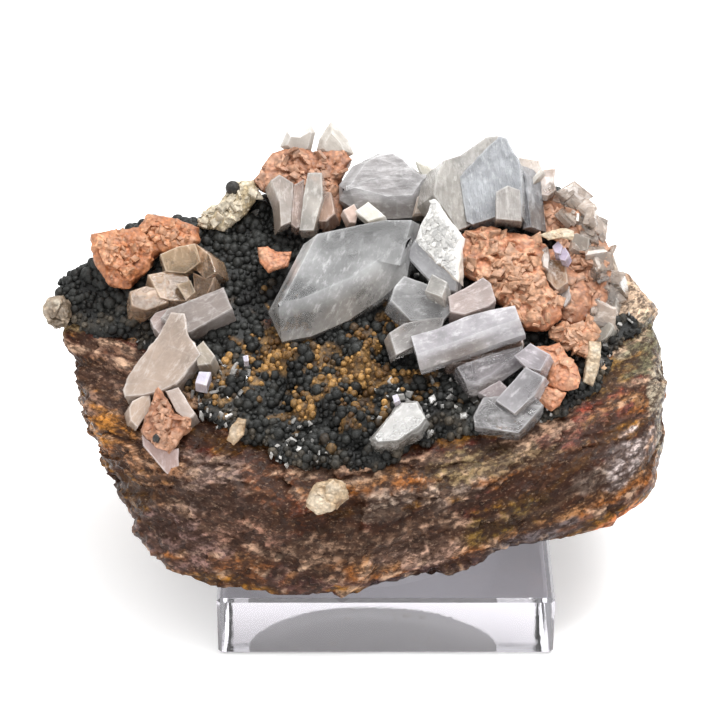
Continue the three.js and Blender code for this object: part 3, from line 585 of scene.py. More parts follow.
rock_shape = body_of(300, 320, rough_stone_reach)
rock, rock_shader, rock_place = finish("gangue", Specular_IOR_Level=0.14)
rock_ink = rock_place.painted("tint")
rock_lay = rock_place.painted("lay", 1)
rock_grain = rock_place.cloud(1500, 4, 0.7)
rock_crumb = rock_place.cells(1100)
rock_grains = rock_lay.node("ShaderNodeTexVoronoi", None, {"Vector": rock_lay, "Scale": 1.7}, 1)
rock_streak = rock_lay.cloud(1.3, 5, 0.72)
rock_pale = rock_lay.cloud(2.6, 4, 0.7).ramped(0.58, 0.66)
rock_deep = rock_streak.ramped(0.56, 0.42)
rock_paint = rock_grain.shade(rock_grains.shade(rock_ink, 0.4, 1.9), 0.45, 1.5)
rock_paint = (rock_pale * 0.36).tint(rock_paint, ink(172, 142, 118))
wear(rock_shader, Base_Color=(rock_deep * 0.78).tint(rock_paint, ink(44, 24, 14)),
     Roughness=0.12 + rock_grains * 0.55,
     Normal=(rock_streak * 0.5 + rock_grain * 0.45 + rock_crumb * 0.35).raised(0.55, 0.0006))
rock_values = {"tint": rock_tints(rock_shape[0]), "lay": layered(rock_shape[0]) * np.array([0.6, 1.0, 0.6])}
piece("gangue_rock", rock_shape, rock, ["matrix_rock"], rock_values, sharp=50)

# Botryoidal crust
# A skin of small round black lumps over the upper side, grown in knobbly ridges with hollows between them
# that are painted darker as shade, and dusted with ochre in its middle. It is one grown crust; the beads are
# its own surface.
CRUST_THICK = 1.4
# Thicker knobs of the crust on the left end and behind the crown: where, how wide and how high
CRUST_KNOBS = np.array([
    [-45, 44.8, 7, 4.6, 3.6], [-49, 42.5, 7, 4.6, 3.4], [-43, 47.5, 4.5, 4, 2.4], [-37, 50.5, 2, 4, 1.6],
    [-18.5, 57, -1, 3.5, 2.2], [-24, 46, 8, 4, 1.0]])


def crust_cover(points):
    """1 where the crust lies: over its lower edge, in front of its back edge and above its low side."""
    across_up = points @ SIGHT.T
    ragged = 1.2 * rolling(points, 3, 31) + 0.7 * rolling(points, 1.2, 32)
    over = step_up(across_up[:, 1] + ragged - np.interp(across_up[:, 0], *CRUST_EDGE.T), -1, 1.2)
    over = np.minimum(over, 1 - bare_end(points))
    return np.minimum(np.minimum(over, 1 - step_up(points[:, 1], 30, 32.5)), step_up(points[:, 2], 27, 29))


def crust_reach(way):
    """The stone's reach plus the crust's thickness where it lies, with knobbly ridges and hollows."""
    reach = stone_reach(way)
    at = way * reach[:, None] + MIDDLE
    cover = crust_cover(at)
    ridges = 1.7 * rolling(at, 3.6, 33) + 0.8 * rolling(at, 1.8, 34)
    away = np.linalg.norm(at[:, None] - placed(CRUST_KNOBS[:, :3])[None], axis=2) / CRUST_KNOBS[:, 3]
    knobs = (CRUST_KNOBS[:, 4] * np.exp(-away * away)).sum(1)
    return reach + (CRUST_THICK + ridges + knobs) * cover - 2.6 * (1 - cover)


def ochre_at(points):
    """How much ochre dust lies at a place: in ragged patches of the crust's middle zone."""
    across_up = points @ SIGHT.T
    zone = 1 - np.hypot((across_up[:, 0] + 9) / 19, (across_up[:, 1] - 30.5) / 10.5)
    patches = 1.1 * rolling(points, 3.0, 35) + 1.2 * rolling(points, 1.1, 36)
    return step_up(1.15 * zone + patches, 0.4, 0.8) * step_up(zone, -0.35, 0.05)


crust_shape = body_of(250, 260, crust_reach)


def spread_on(shape, wanted, apart, seed, keep):
    """Places over a surface, at least so far apart: random points of its triangles, weighted by area, kept
    where keep says so, then thinned with a tree of near neighbours."""
    points, quads = shape[0], shape[1]
    dice = np.random.default_rng(seed)
    a, b, c, d = [points[quads[:, i]] for i in range(4)]
    area = np.linalg.norm(np.cross(c - a, d - b), axis=1) * keep(points[quads].mean(1))
    face = dice.choice(len(quads), wanted, p=area / area.sum())
    u, v = dice.random((2, wanted, 1))
    at = (1 - u) * ((1 - v) * a[face] + v * b[face]) + u * ((1 - v) * d[face] + v * c[face])
    tree = KDTree(wanted)
    for i, spot in enumerate(at):
        tree.insert(spot, i)
    tree.balance()
    gone = np.zeros(wanted, bool)
    for i, spot in enumerate(at):
        if not gone[i]:
            for _, near, _ in tree.find_range(spot, apart):
                gone[near] = gone[near] or near > i
    return at[~gone]


def bead_keep(points):
    """1 on the covered side of the crust's edge, 0 off it."""
    way = way_out(points)
    return (crust_cover(way * stone_reach(way)[:, None] + MIDDLE) > 0.35).astype(float)


def crust_tints(points):
    """Black to dark grey, ochre where dusted, greyer near the lower edge, and darker in the hollows as
    painted shade.
    """
    tint = mixed_tints(0.5 + 0.6 * rolling(points, 2.4, 38), ink(14, 13, 12), ink(50, 51, 49))
    brown = mixed_tints(0.5 + 0.8 * rolling(points, 0.9, 39), ink(92, 64, 34), ink(186, 142, 84))
    tint = mixed_tints(0.92 * ochre_at(points), tint, brown)
    grey = (1 - step_up(over_edge(points), 1, 6)) * step_up(rolling(points, 1.4, 40), -0.2, 0.6)
    tint = mixed_tints(0.5 * grey, tint, ink(112, 100, 84))
    # Painted shade: the tint darkens where the crust lies low, in its hollows.
    return tint * (0.55 + 0.45 * step_up(relief_of(points) - CRUST_THICK, -1.2, 0.4))[:, None]


def bead_piece(name, places, small, large, seed):
    """Round beads a little sunk in the crust, smaller near its lower edge and where ochre lies."""
    dice = np.random.default_rng(seed)
    size = small + (large - small) * dice.random(len(places)) ** 1.6
    size = size * (0.74 + 0.3 * step_up(over_edge(places), 0, 8))
    size *= 1 + 0.3 * rolling(places, 5, seed) - 0.4 * ochre_at(places)
    frames = flat_frames(size[:, None] * dice.uniform(0.85, 1.12, (len(places), 3)))
    lifted = places + way_out(places) * dice.uniform(-0.15, 0.4, (len(places), 1))
    ball = ball_grid(4, 7)
    tint = np.repeat(crust_tints(places), len(ball[0]), 0)
    piece(name, repeated(ball, lifted, frames), crust, ["botryoidal_crust"], {"tint": tint})


crust, crust_shader, crust_place = finish("botryoidal_crust", Specular_IOR_Level=0.28)
crust_ink = crust_place.painted("tint")
crust_grain = crust_place.cloud(2400, 3, 0.65)
wear(crust_shader, Base_Color=crust_grain.ramped(0.3, 0.7).shade(crust_ink, 0.5, 1.5),
     Roughness=0.24 + crust_place.cloud(700) * 0.4, Normal=crust_grain.raised(0.6, 0.0003))
# The skin between the beads is darkened further as painted shade in the gaps.
shaded_skin_tint = crust_tints(crust_shape[0]) * np.array([0.45, 0.45, 0.45, 1])
piece("crust_skin", crust_shape, crust, ["botryoidal_crust"], {"tint": shaded_skin_tint})
BEADS_TRIED = 34000
BEADS_APART = 0.78
bead_places = spread_on(crust_shape, BEADS_TRIED, BEADS_APART, 8, bead_keep)
bead_piece("crust_beads_left", bead_places[bead_places[:, 0] < -10], 0.36, 1.1, 41)
bead_piece("crust_beads_right", bead_places[bead_places[:, 0] >= -10], 0.34, 1.0, 42)

# Baryte tablets
# Clear to milky grown crystals on the crust: flat bevelled rhombic tablets, striated along their length,
# some clouded, with cracked and stepped edges. Those of one cluster grew together.


def inset_outline(outline, widths):
    """An outline's corners moved inward: each edge shifts by its own width, and they cross anew."""
    after = np.roll(outline, -1, 0)
    along = after - outline
    normal = np.stack([along[:, 1], -along[:, 0]], 1) / np.linalg.norm(along, axis=1, keepdims=True)
    offset = (normal * outline).sum(1) - widths
    pairs = np.stack([np.roll(normal, 1, 0), normal], 1)
    levels = np.stack([np.roll(offset, 1), offset], 1)
    return np.linalg.solve(pairs, levels[..., None])[..., 0]


# A tablet's rings: shares of the way out over its face, and each ring's painted highlight down to its back
FACE_RINGS = (0.12, 0.4, 0.65, 0.82, 0.91, 0.96, 0.987, 1)
RING_HIGHLIGHT = (0, 0, 0, 0, 0.05, 0.16, 0.4, 0.7, 0.2, 0.7, 0.4, 0.3, 0.2, 0)
RIM_STEP = 0.5


def tablet(outline, toward, lean, tint, seed, thick=4, bevel=0.14, drop=0, edges=None, ragged=0.05):
    """A bevelled crystal: its outline carried from the face's middle out to the bevel, down its sides to
    the back. Edges may have their own bevel widths; drop is how deep the bevel goes; ragged moves the rim
    by noise. Gives points, quads, triangles, each point's place along and across the crystal in millimetres,
    and its tint, darkened as painted shade on the rim and sides that face down, with its alpha a painted
    highlight along the rims."""
    outline = np.array(outline, float)
    turned = (outline[:, 0] * np.roll(outline[:, 1], -1) - np.roll(outline[:, 0], -1) * outline[:, 1]).sum()
    widths = np.full(len(outline), float(bevel))
    for edge, width in (edges or {}).items():
        widths[edge] = width
    if turned < 0:
        outline = outline[::-1]
        widths = np.roll(widths[::-1], -1)
    inner = inset_outline(outline, widths)
    centre = inner.mean(0)
    spans = np.linalg.norm(np.roll(outline, -1, 0) - outline, axis=1)
    steps = np.maximum(2, np.round(spans / RIM_STEP).astype(int))
    edge_of = np.repeat(np.arange(len(outline)), steps)
    part = np.concatenate([np.arange(n) / n for n in steps])[:, None]

    def around(corners):
        """Corners joined by straight rows of points."""
        return corners[edge_of] * (1 - part) + np.roll(corners, -1, 0)[edge_of] * part

    flats = [centre + (around(inner) - centre) * share for share in FACE_RINGS]
    depth_of_rim = float(drop or bevel)
    face_count = len(FACE_RINGS)
    levels = [0.0] * face_count + [depth_of_rim * 0.5, depth_of_rim]
    flats += [(around(inner) + around(outline)) / 2, around(outline)]
    for level in np.linspace(depth_of_rim, thick, 5)[1:]:
        flats.append(around(outline))
        levels.append(level)
    flats = np.array(flats)
    levels = np.array(levels)[:, None]
    behind = placed([-lean[0], -lean[1], 1])
    behind = -behind / np.linalg.norm(behind)
    face = toward + (flats - outline.mean(0)) @ np.array(lean)
    points = placed(np.concatenate([flats, face[..., None]], 2)) + levels[..., None] * behind
    spots = points.reshape(-1, 3)
    out = flats - centre
    out = out / np.maximum(np.linalg.norm(out, axis=2, keepdims=True), 1e-6)
    rim = (np.arange(len(levels)) >= face_count)[:, None]
    push = rolling(spots, 1.1, seed) + 0.6 * rolling(spots, 0.45, seed + 1)
    push = (ragged * push).reshape(len(levels), -1) * rim
    points = points + push[..., None] * (out @ SIGHT[:2])
    dents = 0.05 * rolling(spots, 1.6, seed + 2).reshape(len(levels), -1)
    points = points - behind * dents[..., None]
    middle = placed([*centre, toward + (centre - outline.mean(0)) @ np.array(lean)])
    shape = closed_from_rings(points, middle, middle + behind * thick)
    long = np.argmax(spans)
    along = (np.roll(outline, -1, 0) - outline)[long] / spans[long]
    local = shape[0] @ SIGHT.T
    across = [-along[1], along[0]]
    lay = np.stack([local[:, :2] @ along, local[:, :2] @ across, np.full(len(local), float(seed))], 1)
    inks = np.tile(ink(*tint), (len(local), 1))
    # The alpha carries each ring's painted highlight, which the crystal looks read as the edge.
    inks[1:-1, 3] = np.repeat(RING_HIGHLIGHT, points.shape[1])
    # Painted shade: the rim and sides that face down are darkened, and their painted highlight weakened.
    low_side_shade = np.clip(-out[..., 1], 0, 1) * np.array([0] * face_count + [0.8, 1] + [0.8] * 4)[:, None]
    inks[1:-1, :3] *= 1 - np.array([0.42, 0.5, 0.58]) * low_side_shade.reshape(-1, 1)
    inks[1:-1, 3] *= 1 - 0.6 * low_side_shade.ravel()
    inks[[0, -1], 3] = 0
    return (*shape, lay, inks)


def crystal(name, clear, bend, ripple=0.14):
    """A grown crystal: clear and milky zones mixed by clouds, striated, with veils, and a white painted
    highlight along the edges, where it is also less see-through.
    """
    made, shader, place = finish(name, IOR=bend, Subsurface_Weight=0.3, Subsurface_Scale=0.0015,
                                 Subsurface_Radius=(1, 1, 1))
    own_ink = place.painted("tint")
    # The tint's alpha is the share of painted highlight on the edges.
    edge = place.painted("tint", 3)
    lay = place.painted("lay", 1)
    milk = place.cloud(260, 5, 0.7)
    mist = place.cloud(120, 2, 0.5)
    lines = lay.stretched(0.3, 3.4, 1).cloud(1.6, 4, 0.7)
    cracks = lay.stretched(0.3, 0.8, 1).cells(0.5, "DISTANCE_TO_EDGE").ramped(0.03, 0.0)
    veils = lay.stretched(0.5, 1.2, 1).cloud(0.9, 5, 0.7).ramped(0.5, 0.72)
    flecks = place.cloud(700, 4, 0.7).ramped(0.45, 0.8)
    body = milk.ramped(0.36, 0.64).shade(own_ink, 0.9, 1.08)
    body = (veils * 0.2 + flecks * milk * 0.16 + cracks * milk * 0.14).tint(body, ink(238, 238, 238))
    facets = lay.stretched(0.45, 1.1, 1).cells(0.9)
    skin = (lines * 0.6 + facets * 0.9 + place.cloud(2200, 3) * 0.2).raised(ripple, 0.0003)
    # Painted highlight: the colour turns white along the edges, as far as the crystal is milky.
    wear(shader, Base_Color=(edge * milk * 0.6).tint(lines.shade(body, 0.95, 1.05), ink(250, 251, 252)),
         Roughness=0.04 + milk * 0.2, Normal=skin)
    glass_ink = place.node("ShaderNodeMix", {"data_type": "RGBA"}, {0: 0.72, 6: own_ink, 7: (1, 1, 1, 1)}, 2)
    glass = place.node("ShaderNodeBsdfPrincipled", None, {
        "Base Color": glass_ink, "Roughness": 0.04 + veils * 0.2, "IOR": bend, "Transmission Weight": 1.0,
        "Normal": skin})
    # Where the painted highlight lies, less light passes through.
    share = (clear + 0.5 - mist * 0.9 - veils * 0.2 - flecks * 0.1).ramped(0.0, 0.75) * (1 - edge * 0.6) * 0.9
    surface = Wire(place.tree, shader.outputs[0])
    both = place.node("ShaderNodeMixShader", None, {0: share, 1: surface, 2: glass})
    place.tree.links.new(both.socket, place.tree.nodes["Material Output"].inputs["Surface"])
    return made


milky = crystal("baryte_milky", 0.4, 1.64)
cloudy = crystal("baryte_cloudy", 0.14, 1.64)
rippled = crystal("baryte_rippled", 0.3, 1.64, 1.7)
CENTRAL = [
    dict(outline=[[-17.8, 39.1], [-15.7, 34.6], [-11.3, 35.4], [-5.7, 37.8], [-0.8, 41.1], [3.2, 44.5],
         [3.7, 47.3], [5.1, 52.5], [-0.2, 52.5], [-5.7, 51.5], [-10.9, 50.4], [-12.6, 49.4]], toward=18,
         lean=(0.05, -0.32), thick=7.5, bevel=2.6,
         edges={0: 1.7, 1: 5, 2: 5, 3: 4.4, 4: 3.4, 5: 1.2, 6: 1, 7: 0.3, 8: 0.3, 9: 0.4, 10: 0.6, 11: 1.7},
         ragged=0.04, tint=(176, 176, 176), seed=41)]
PLATE = [
    dict(outline=[[4.5, 49.4], [2.9, 47], [7.7, 41.6], [10.7, 41.2], [11, 43.4]], toward=17.2,
         lean=(0.3, -0.2), thick=2.4, bevel=0.3, ragged=0.1, tint=(176, 175, 178), seed=46),
    dict(outline=[[7.2, 55.6], [11.1, 49.7], [10.9, 42.6], [9.1, 44.3], [4.3, 49.1]], toward=18.5,
         lean=(0.35, -0.2), thick=2.4, bevel=0.3, ragged=0.3, tint=(252, 250, 246), seed=44)]
FRONT = [
    dict(outline=[[3.6, 34.7], [7.6, 35.8], [11.7, 37.6], [15.4, 38.6], [19.2, 39.3], [20.5, 35.3],
         [17.1, 34.2], [11.7, 32.2], [4.9, 29.9]], toward=25, lean=(0.12, -0.35), thick=3.4, drop=1.3,
         edges={5: 2, 6: 2, 7: 2}, tint=(203, 199, 203), seed=51),
    dict(outline=[[0.5, 35.1], [2.8, 36.6], [6.4, 37.3], [8.9, 37.5], [8.1, 34.8], [3.7, 32.8], [1.5, 31.7]],
         toward=22.4, lean=(-0.2, -0.3), tint=(177, 172, 169), seed=52),
    dict(outline=[[0.7, 40], [1.3, 42], [2.8, 43.7], [6.4, 42.4], [9, 39.9], [10, 38.5], [8.8, 37],
         [3.7, 36.9]], toward=20.5, lean=(-0.15, -0.3), thick=6, tint=(174, 173, 173), seed=53),
    dict(outline=[[6.2, 42.3], [6.9, 44], [9.2, 42.7], [8.4, 40.3], [5.8, 41.3]], toward=22.2,
         lean=(0.2, -0.5), tint=(192, 188, 182), seed=54),
    dict(outline=[[9.3, 40.6], [11.8, 41.8], [14.6, 43.5], [15.8, 42.6], [16.5, 40], [15.5, 39.1],
         [11.8, 37.8], [9.6, 38.2]], toward=20.8, lean=(0, -0.4), thick=4.5, tint=(195, 177, 171), seed=55),
    dict(outline=[[8.1, 32.2], [14, 34], [20.6, 34.9], [20.6, 33.1], [12.6, 30.5], [9, 30.5]], toward=22.4,
         lean=(0, -0.6), ragged=0.2, tint=(126, 95, 78), seed=56)]
LOWER = [
    dict(outline=[[16, 25.1], [20.5, 30.1], [23.3, 28.6], [21.7, 25.8], [18.8, 23.1]], toward=28.4,
         lean=(0.3, -0.3), thick=3, tint=(182, 178, 181), seed=61),
    dict(outline=[[18.9, 31.7], [21.3, 33.6], [24.1, 31.9], [22.7, 29.4], [20.6, 29.9]], toward=26.6,
         lean=(0.3, -0.4), thick=3.4, tint=(199, 191, 196), seed=62),
    dict(outline=[[10.4, 30.1], [12, 30.8], [18.1, 32.8], [20.5, 33.3], [20.4, 30.5], [16.2, 27.5],
         [13.5, 26.2], [12.4, 26.3]], toward=25.2, lean=(-0.1, -0.35), thick=4.4, drop=1.2,
         edges={4: 1.6, 5: 1.6, 6: 1.6}, tint=(144, 137, 140), seed=63),
    dict(outline=[[12.8, 22.8], [14.3, 25.6], [16.5, 25.8], [18.9, 24.6], [22, 25.8], [23.2, 24.4],
         [19.4, 20.3], [13, 21.2]], toward=27.6, lean=(0.05, -0.5), tint=(154, 150, 151), seed=64),
    dict(outline=[[13.6, 26.3], [16.8, 28.1], [18.6, 26.3], [16.2, 24.6]], toward=26.2, lean=(0, -0.4),
         tint=(155, 141, 141), seed=65)]
RHOMBS = [
    dict(outline=[[-4.6, 53.9], [-2.6, 55.4], [0.1, 53], [-2.6, 52.2]], toward=11.5, lean=(0.2, -0.5),
         thick=2, tint=(219, 215, 204), seed=71),
    dict(outline=[[-6.4, 54.1], [-4.7, 55.1], [-4, 53.8], [-4.4, 52.1], [-5.5, 52.1]], toward=10,
         lean=(-0.2, -0.3), thick=2.4, tint=(200, 175, 162), seed=72)]
TALL = [
    dict(outline=[[11.4, 59.2], [12.7, 60.7], [15.7, 63.7], [17.6, 65.6], [18.7, 65.2], [19.6, 63.2],
         [20.6, 61.5], [21, 58.5], [21, 52.8], [17.6, 53.1], [13.4, 51.7], [12.4, 52.2]], toward=10.5,
         lean=(0.2, -0.22), thick=5, ragged=0.1, tint=(184, 187, 192), seed=81),
    dict(outline=[[16.9, 56.7], [18.7, 57.7], [20.6, 57], [20.8, 52.1], [16.8, 52.5]], toward=13.4,
         lean=(0, -0.2), tint=(188, 182, 177), seed=82),
    dict(outline=[[9.1, 61.8], [11.7, 62.7], [15.8, 65.7], [17.7, 66], [18.4, 64.9], [15.7, 62.2],
         [12.5, 58.5], [13.4, 51.7], [11.1, 50.8], [9.4, 53.5], [7.4, 56.3], [7.9, 59.4]], toward=8.6,
         lean=(-0.45, -0.3), thick=6, tint=(190, 185, 178), seed=83),
    dict(outline=[[20.8, 61.2], [21.7, 59.4], [22.5, 51.4], [21.1, 51.1], [20.6, 57.2]], toward=9,
         lean=(0.8, -0.2), tint=(138, 138, 142), seed=84)]
TOP = [
    dict(outline=[[-6.9, 58.8], [-4.9, 61.8], [-0.9, 63.9], [1.5, 64.2], [3.2, 63.2], [5.2, 61.2],
         [7.4, 59.7], [7.2, 57.1], [4.9, 53.7], [0.2, 53.4], [-3.6, 54.4], [-6.9, 56.4]], toward=4.6,
         lean=(-0.1, -0.35), thick=6, bevel=0.9, drop=1.5, edges={0: 1.6, 7: 2.2, 8: 3, 9: 3, 10: 2},
         tint=(134, 130, 130), seed=91),
    dict(outline=[[4.6, 62.5], [6.9, 61.7], [8.1, 60.1], [7.7, 58.3], [5.6, 59.8]], toward=2.4,
         lean=(0.2, -0.3), bevel=0.4, tint=(180, 175, 162), seed=92),
    dict(outline=[[5, 56.5], [7.5, 58.1], [8, 55.9], [6.7, 53.7], [4.2, 53.4]], toward=5.6, lean=(0.1, -0.3),
         thick=5, bevel=0.4, tint=(171, 152, 136), seed=93)]
PALE = [
    dict(outline=[[24.4, 46.6], [27.4, 46], [27.7, 42.7], [25.9, 41.5], [24.4, 43.3]], toward=15.2,
         lean=(0.1, -0.5), thick=3, ragged=0.2, tint=(150, 106, 56), seed=116),
    dict(outline=[[20.9, 62.7], [24.1, 62.2], [24.3, 61], [22.8, 58.1], [21.4, 58.4]], toward=4.5,
         lean=(0.2, -0.3), thick=4.5, tint=(194, 179, 166), seed=101),
    dict(outline=[[24.4, 60.7], [26.6, 60.9], [26.3, 59], [26.6, 57.5], [25.3, 56.5], [22.9, 56.8],
         [22.7, 58.1]], toward=5.4, lean=(0, -0.4), thick=5, tint=(200, 179, 164), seed=102),
    dict(outline=[[22.3, 58.7], [24.2, 60.7], [24.6, 60.3], [22.9, 58.1]], toward=7.2, lean=(0.2, -0.3),
         thick=1.6, tint=(229, 222, 212), seed=106),
    dict(outline=[[26.5, 57.5], [29.6, 56.4], [29.8, 54.8], [28.2, 55], [26.1, 55.9]], toward=5.2,
         lean=(0.1, -0.5), tint=(198, 166, 144), seed=103),
    dict(outline=[[28.4, 50.1], [29.5, 50.7], [31.4, 49.8], [31.2, 48], [29.4, 47.5]], toward=9.6,
         lean=(0.3, -0.4), tint=(171, 160, 147), seed=107),
    dict(outline=[[32.5, 49.5], [34.8, 48.2], [35.9, 45.2], [36.2, 42.2], [34.7, 41.5], [33.3, 43.4],
         [33, 46.1]], toward=8.6, lean=(0.4, -0.4), thick=5, ragged=0.2, tint=(178, 163, 147), seed=104),
    dict(outline=[[33.3, 45.8], [34.9, 46.3], [35.6, 45.2], [35.3, 43.9], [33.5, 43.9]], toward=10,
         lean=(0.2, -0.3), thick=2, tint=(225, 203, 180), seed=108),
    dict(outline=[[33, 42.4], [34.8, 41.8], [35.7, 40.3], [35, 37.5], [33.6, 35.7], [32.5, 37.5]],
         toward=10.4, lean=(0.4, -0.4), thick=5, ragged=0.25, tint=(175, 165, 153), seed=105),
    dict(outline=[[31.8, 37.1], [33.6, 37.7], [34.8, 36.2], [33.6, 34.4], [32.2, 33.5], [31.2, 35]],
         toward=13.6, lean=(0.3, -0.4), ragged=0.2, tint=(178, 171, 158), seed=109),
    dict(outline=[[26.4, 43], [27.8, 42.6], [28.2, 40.5], [27.1, 38.9], [25.9, 40.8]], toward=14.6,
         lean=(0.1, -0.5), thick=3, ragged=0.25, tint=(173, 160, 153), seed=110),
    dict(outline=[[23.9, 47.7], [24.7, 48.2], [25, 46.8], [24.7, 44.7], [23.8, 45.3]], toward=15,
         lean=(0, -0.5), thick=2.4, ragged=0.25, tint=(206, 186, 173), seed=115)]
CROWN = [
    dict(outline=[[-16.2, 64.6], [-15.2, 67], [-13.4, 66.9], [-11.4, 68.1], [-10.7, 66.9], [-11.4, 63.8],
         [-13.9, 62.8]], toward=-0.4, lean=(-0.2, 0.1), bevel=0.8, tint=(184, 177, 169), seed=111),
    dict(outline=[[-10.8, 64.1], [-10.4, 65.8], [-8.5, 68.7], [-5.9, 65.8], [-4.9, 63.4], [-7, 62.5],
         [-9.8, 62.8]], toward=-0.2, lean=(0.1, 0.1), bevel=1.2, tint=(188, 180, 169), seed=112)]
LATHS = [
    dict(outline=[[-11.9, 60], [-9.7, 60], [-9.6, 56], [-10.9, 50.9], [-13.2, 50.9], [-12.6, 56]], toward=9,
         lean=(0.1, -0.25), tint=(200, 194, 186), seed=121),
    dict(outline=[[-17.6, 58.8], [-16.3, 59.8], [-14.1, 58.5], [-14, 52.5], [-16, 51.6], [-16.3, 55.5]],
         toward=7.6, lean=(-0.3, -0.3), tint=(200, 190, 182), seed=122),
    dict(outline=[[-14, 58.2], [-12.5, 59.1], [-12.6, 51.7], [-13.7, 51.3], [-14.5, 52]], toward=8,
         lean=(0, -0.3), thick=3, tint=(175, 152, 140), seed=124),
    dict(outline=[[-9.5, 57.3], [-8.3, 57], [-7.7, 53.6], [-9.1, 52.4], [-10.3, 52.4]], toward=7.8,
         lean=(0.2, -0.4), tint=(190, 158, 138), seed=123)]
LEFT = [
    dict(outline=[[-33.9, 37.4], [-32.9, 38.8], [-24.5, 42.1], [-23, 38.8], [-29.1, 35.3], [-30, 35]],
         toward=18.2, lean=(0.1, -0.5), tint=(130, 119, 113), seed=131),
    dict(outline=[[-35.6, 37.2], [-34.8, 38.3], [-32.2, 39.2], [-31.6, 37.1], [-34.1, 35], [-35, 35.9]],
         toward=16.6, lean=(0, -0.5), thick=3.6, tint=(141, 122, 116), seed=132),
    dict(outline=[[-39.1, 26.7], [-38.4, 28.8], [-36.9, 31.1], [-34.2, 34.6], [-32.3, 38.2], [-30.2, 38.1],
         [-29.6, 35], [-28.6, 33.6], [-27.5, 31.9], [-29, 30], [-31.1, 27.5], [-33.2, 26.5], [-35.9, 25.8],
         [-38.8, 25.6]], toward=22, lean=(0.15, -0.45), thick=6, ragged=0.15, tint=(160, 142, 128), seed=133),
    dict(outline=[[-28.5, 32.9], [-27.3, 34], [-25.4, 31.7], [-26, 30.4], [-28, 30.2]], toward=22.4,
         lean=(0.2, -0.6), thick=3.6, tint=(157, 145, 130), seed=134),
    dict(outline=[[-38, 24], [-37.5, 25], [-35, 26.3], [-34.8, 23.9], [-36.7, 21], [-37.8, 22.1]],
         toward=24.6, lean=(-0.3, -0.3), thick=3.4, tint=(173, 154, 138), seed=135),
    dict(outline=[[-32.7, 26.5], [-30.8, 27.1], [-28.1, 23.2], [-29.2, 22.1], [-31, 23.4]], toward=25.6,
         lean=(0.2, -0.5), thick=3, ragged=0.12, tint=(179, 163, 153), seed=136),
    dict(outline=[[-35.8, 20.1], [-33.7, 18.4], [-32.3, 17.8], [-30.4, 18.1], [-30.3, 13.8], [-31.7, 13.8],
         [-33.7, 16.2], [-35.6, 18.5]], toward=28.4, lean=(-0.1, -0.1), thick=3.4, ragged=0.15,
         tint=(169, 143, 136), seed=137)]
CHIP = [
    dict(outline=[[-2.1, 19.9], [-0.3, 22.3], [2.1, 25.1], [4.6, 25.1], [6.2, 22.6], [5.1, 21.2],
         [1.8, 19.1], [-1.5, 18.8]], toward=30, lean=(0, -0.7), thick=3, bevel=0.4, ragged=0.35,
         tint=(140, 136, 130), seed=141)]


def crystal_piece(name, shape, material, stands_for):
    """A piece of crystals from points, quads, triangles, lay and tint."""
    values = {"lay": shape[3], "tint": shape[4]}
    piece(name, shape[:3], material, stands_for, values, sharp=24)


def grown(name, crystals, material, stands_for):
    """A cluster of tablets as one piece."""
    crystal_piece(name, gathered([tablet(**one) for one in crystals]), material, stands_for)


grown("central_tablet", CENTRAL, milky, ["central_baryte"])
grown("glittering_plate", PLATE, cloudy, ["bright_plate"])
grown("blades_in_front", FRONT, milky, ["front_blades"])
grown("blades_below", LOWER, milky, ["lower_blades"])
grown("bright_rhombs", RHOMBS, cloudy, ["small_rhombs"])
grown("tall_crystal", TALL, rippled, ["tall_baryte"])
grown("top_crystals", TOP, cloudy, ["top_baryte", "top_side_crystal", "top_low_crystal"])
grown("pale_right", PALE, milky, ["pale_tablets", "upper_rim_crystal", "lower_rim_crystal"])
grown("crown_tips", CROWN, cloudy, ["crown_crystals"])
grown("upright_laths", LATHS, milky, ["lath_group", "lath_neighbour"])
grown("left_tablets", LEFT, cloudy, ["left_lath", "left_baryte"])
grown("sugary_fragment", CHIP, milky, ["sugary_chip"])

# Small crystals on the crust
# Little clear rhombic tablets grown singly on the crust round the large ones, the flakes that make the
# upright plate glitter, and the pale tablets grown along the orange mass's right rim.

# Sprinkled patches of the crust: across, up and how wide
SPRINKLED = np.array([
    [-26, 22, 5], [-23, 28, 3], [-33, 38, 5], [-36, 30, 4], [2, 23, 5], [10, 27, 5], [6, 45, 4], [33, 40, 5],
    [30, 33, 4], [-14, 58, 5], [-22, 54, 4], [25, 56, 6], [-12, 18, 4], [20, 24, 4]])


def little_tablet():
    """A flat rhombic tablet 2 long, its thickness a quarter of that, with bevelled ends."""
    wide = np.array([[0.72, 1, 1, 0.72]]).T
    corner = np.array([[1, 0], [0, 0.7], [-1, 0], [0, -0.7]])
    flat = wide[..., None] * corner
    level = np.broadcast_to(np.array([0.25, 0.15, -0.15, -0.25])[:, None, None], (4, 4, 1))
    return closed_from_rings(np.concatenate([flat, level], 2), [0, 0, 0.25], [0, 0, -0.25])


def set_tablets(places, facing, loose, small, large, seed, tone=1):
    """Little tablets at places, each facing a way give or take some looseness, with its lay and its tint
    times a tone; the tint's alpha, a fifth times the tone's, is their painted highlight."""
    dice = np.random.default_rng(seed)
    out = facing + dice.normal(0, loose, places.shape)
    out /= np.linalg.norm(out, axis=1, keepdims=True)
    side = np.cross(out, dice.normal(0, 1, out.shape))
    side /= np.linalg.norm(side, axis=1, keepdims=True)
    size = small + (large - small) * dice.random((len(places), 1, 1)) ** 2
    one = little_tablet()
    shape = repeated(one, places, np.stack([side, np.cross(out, side), out], 1) * size)
    tint = np.array(ink(214, 210, 204)) * dice.uniform(0.45, 0.95, (len(places), 1))
    # The alpha gives each little tablet a faint painted highlight.
    tint[:, 3] = 0.2
    return (*shape, shape[0].copy(), np.clip(np.repeat(tint, len(one[0]), 0) * tone, 0, 1))


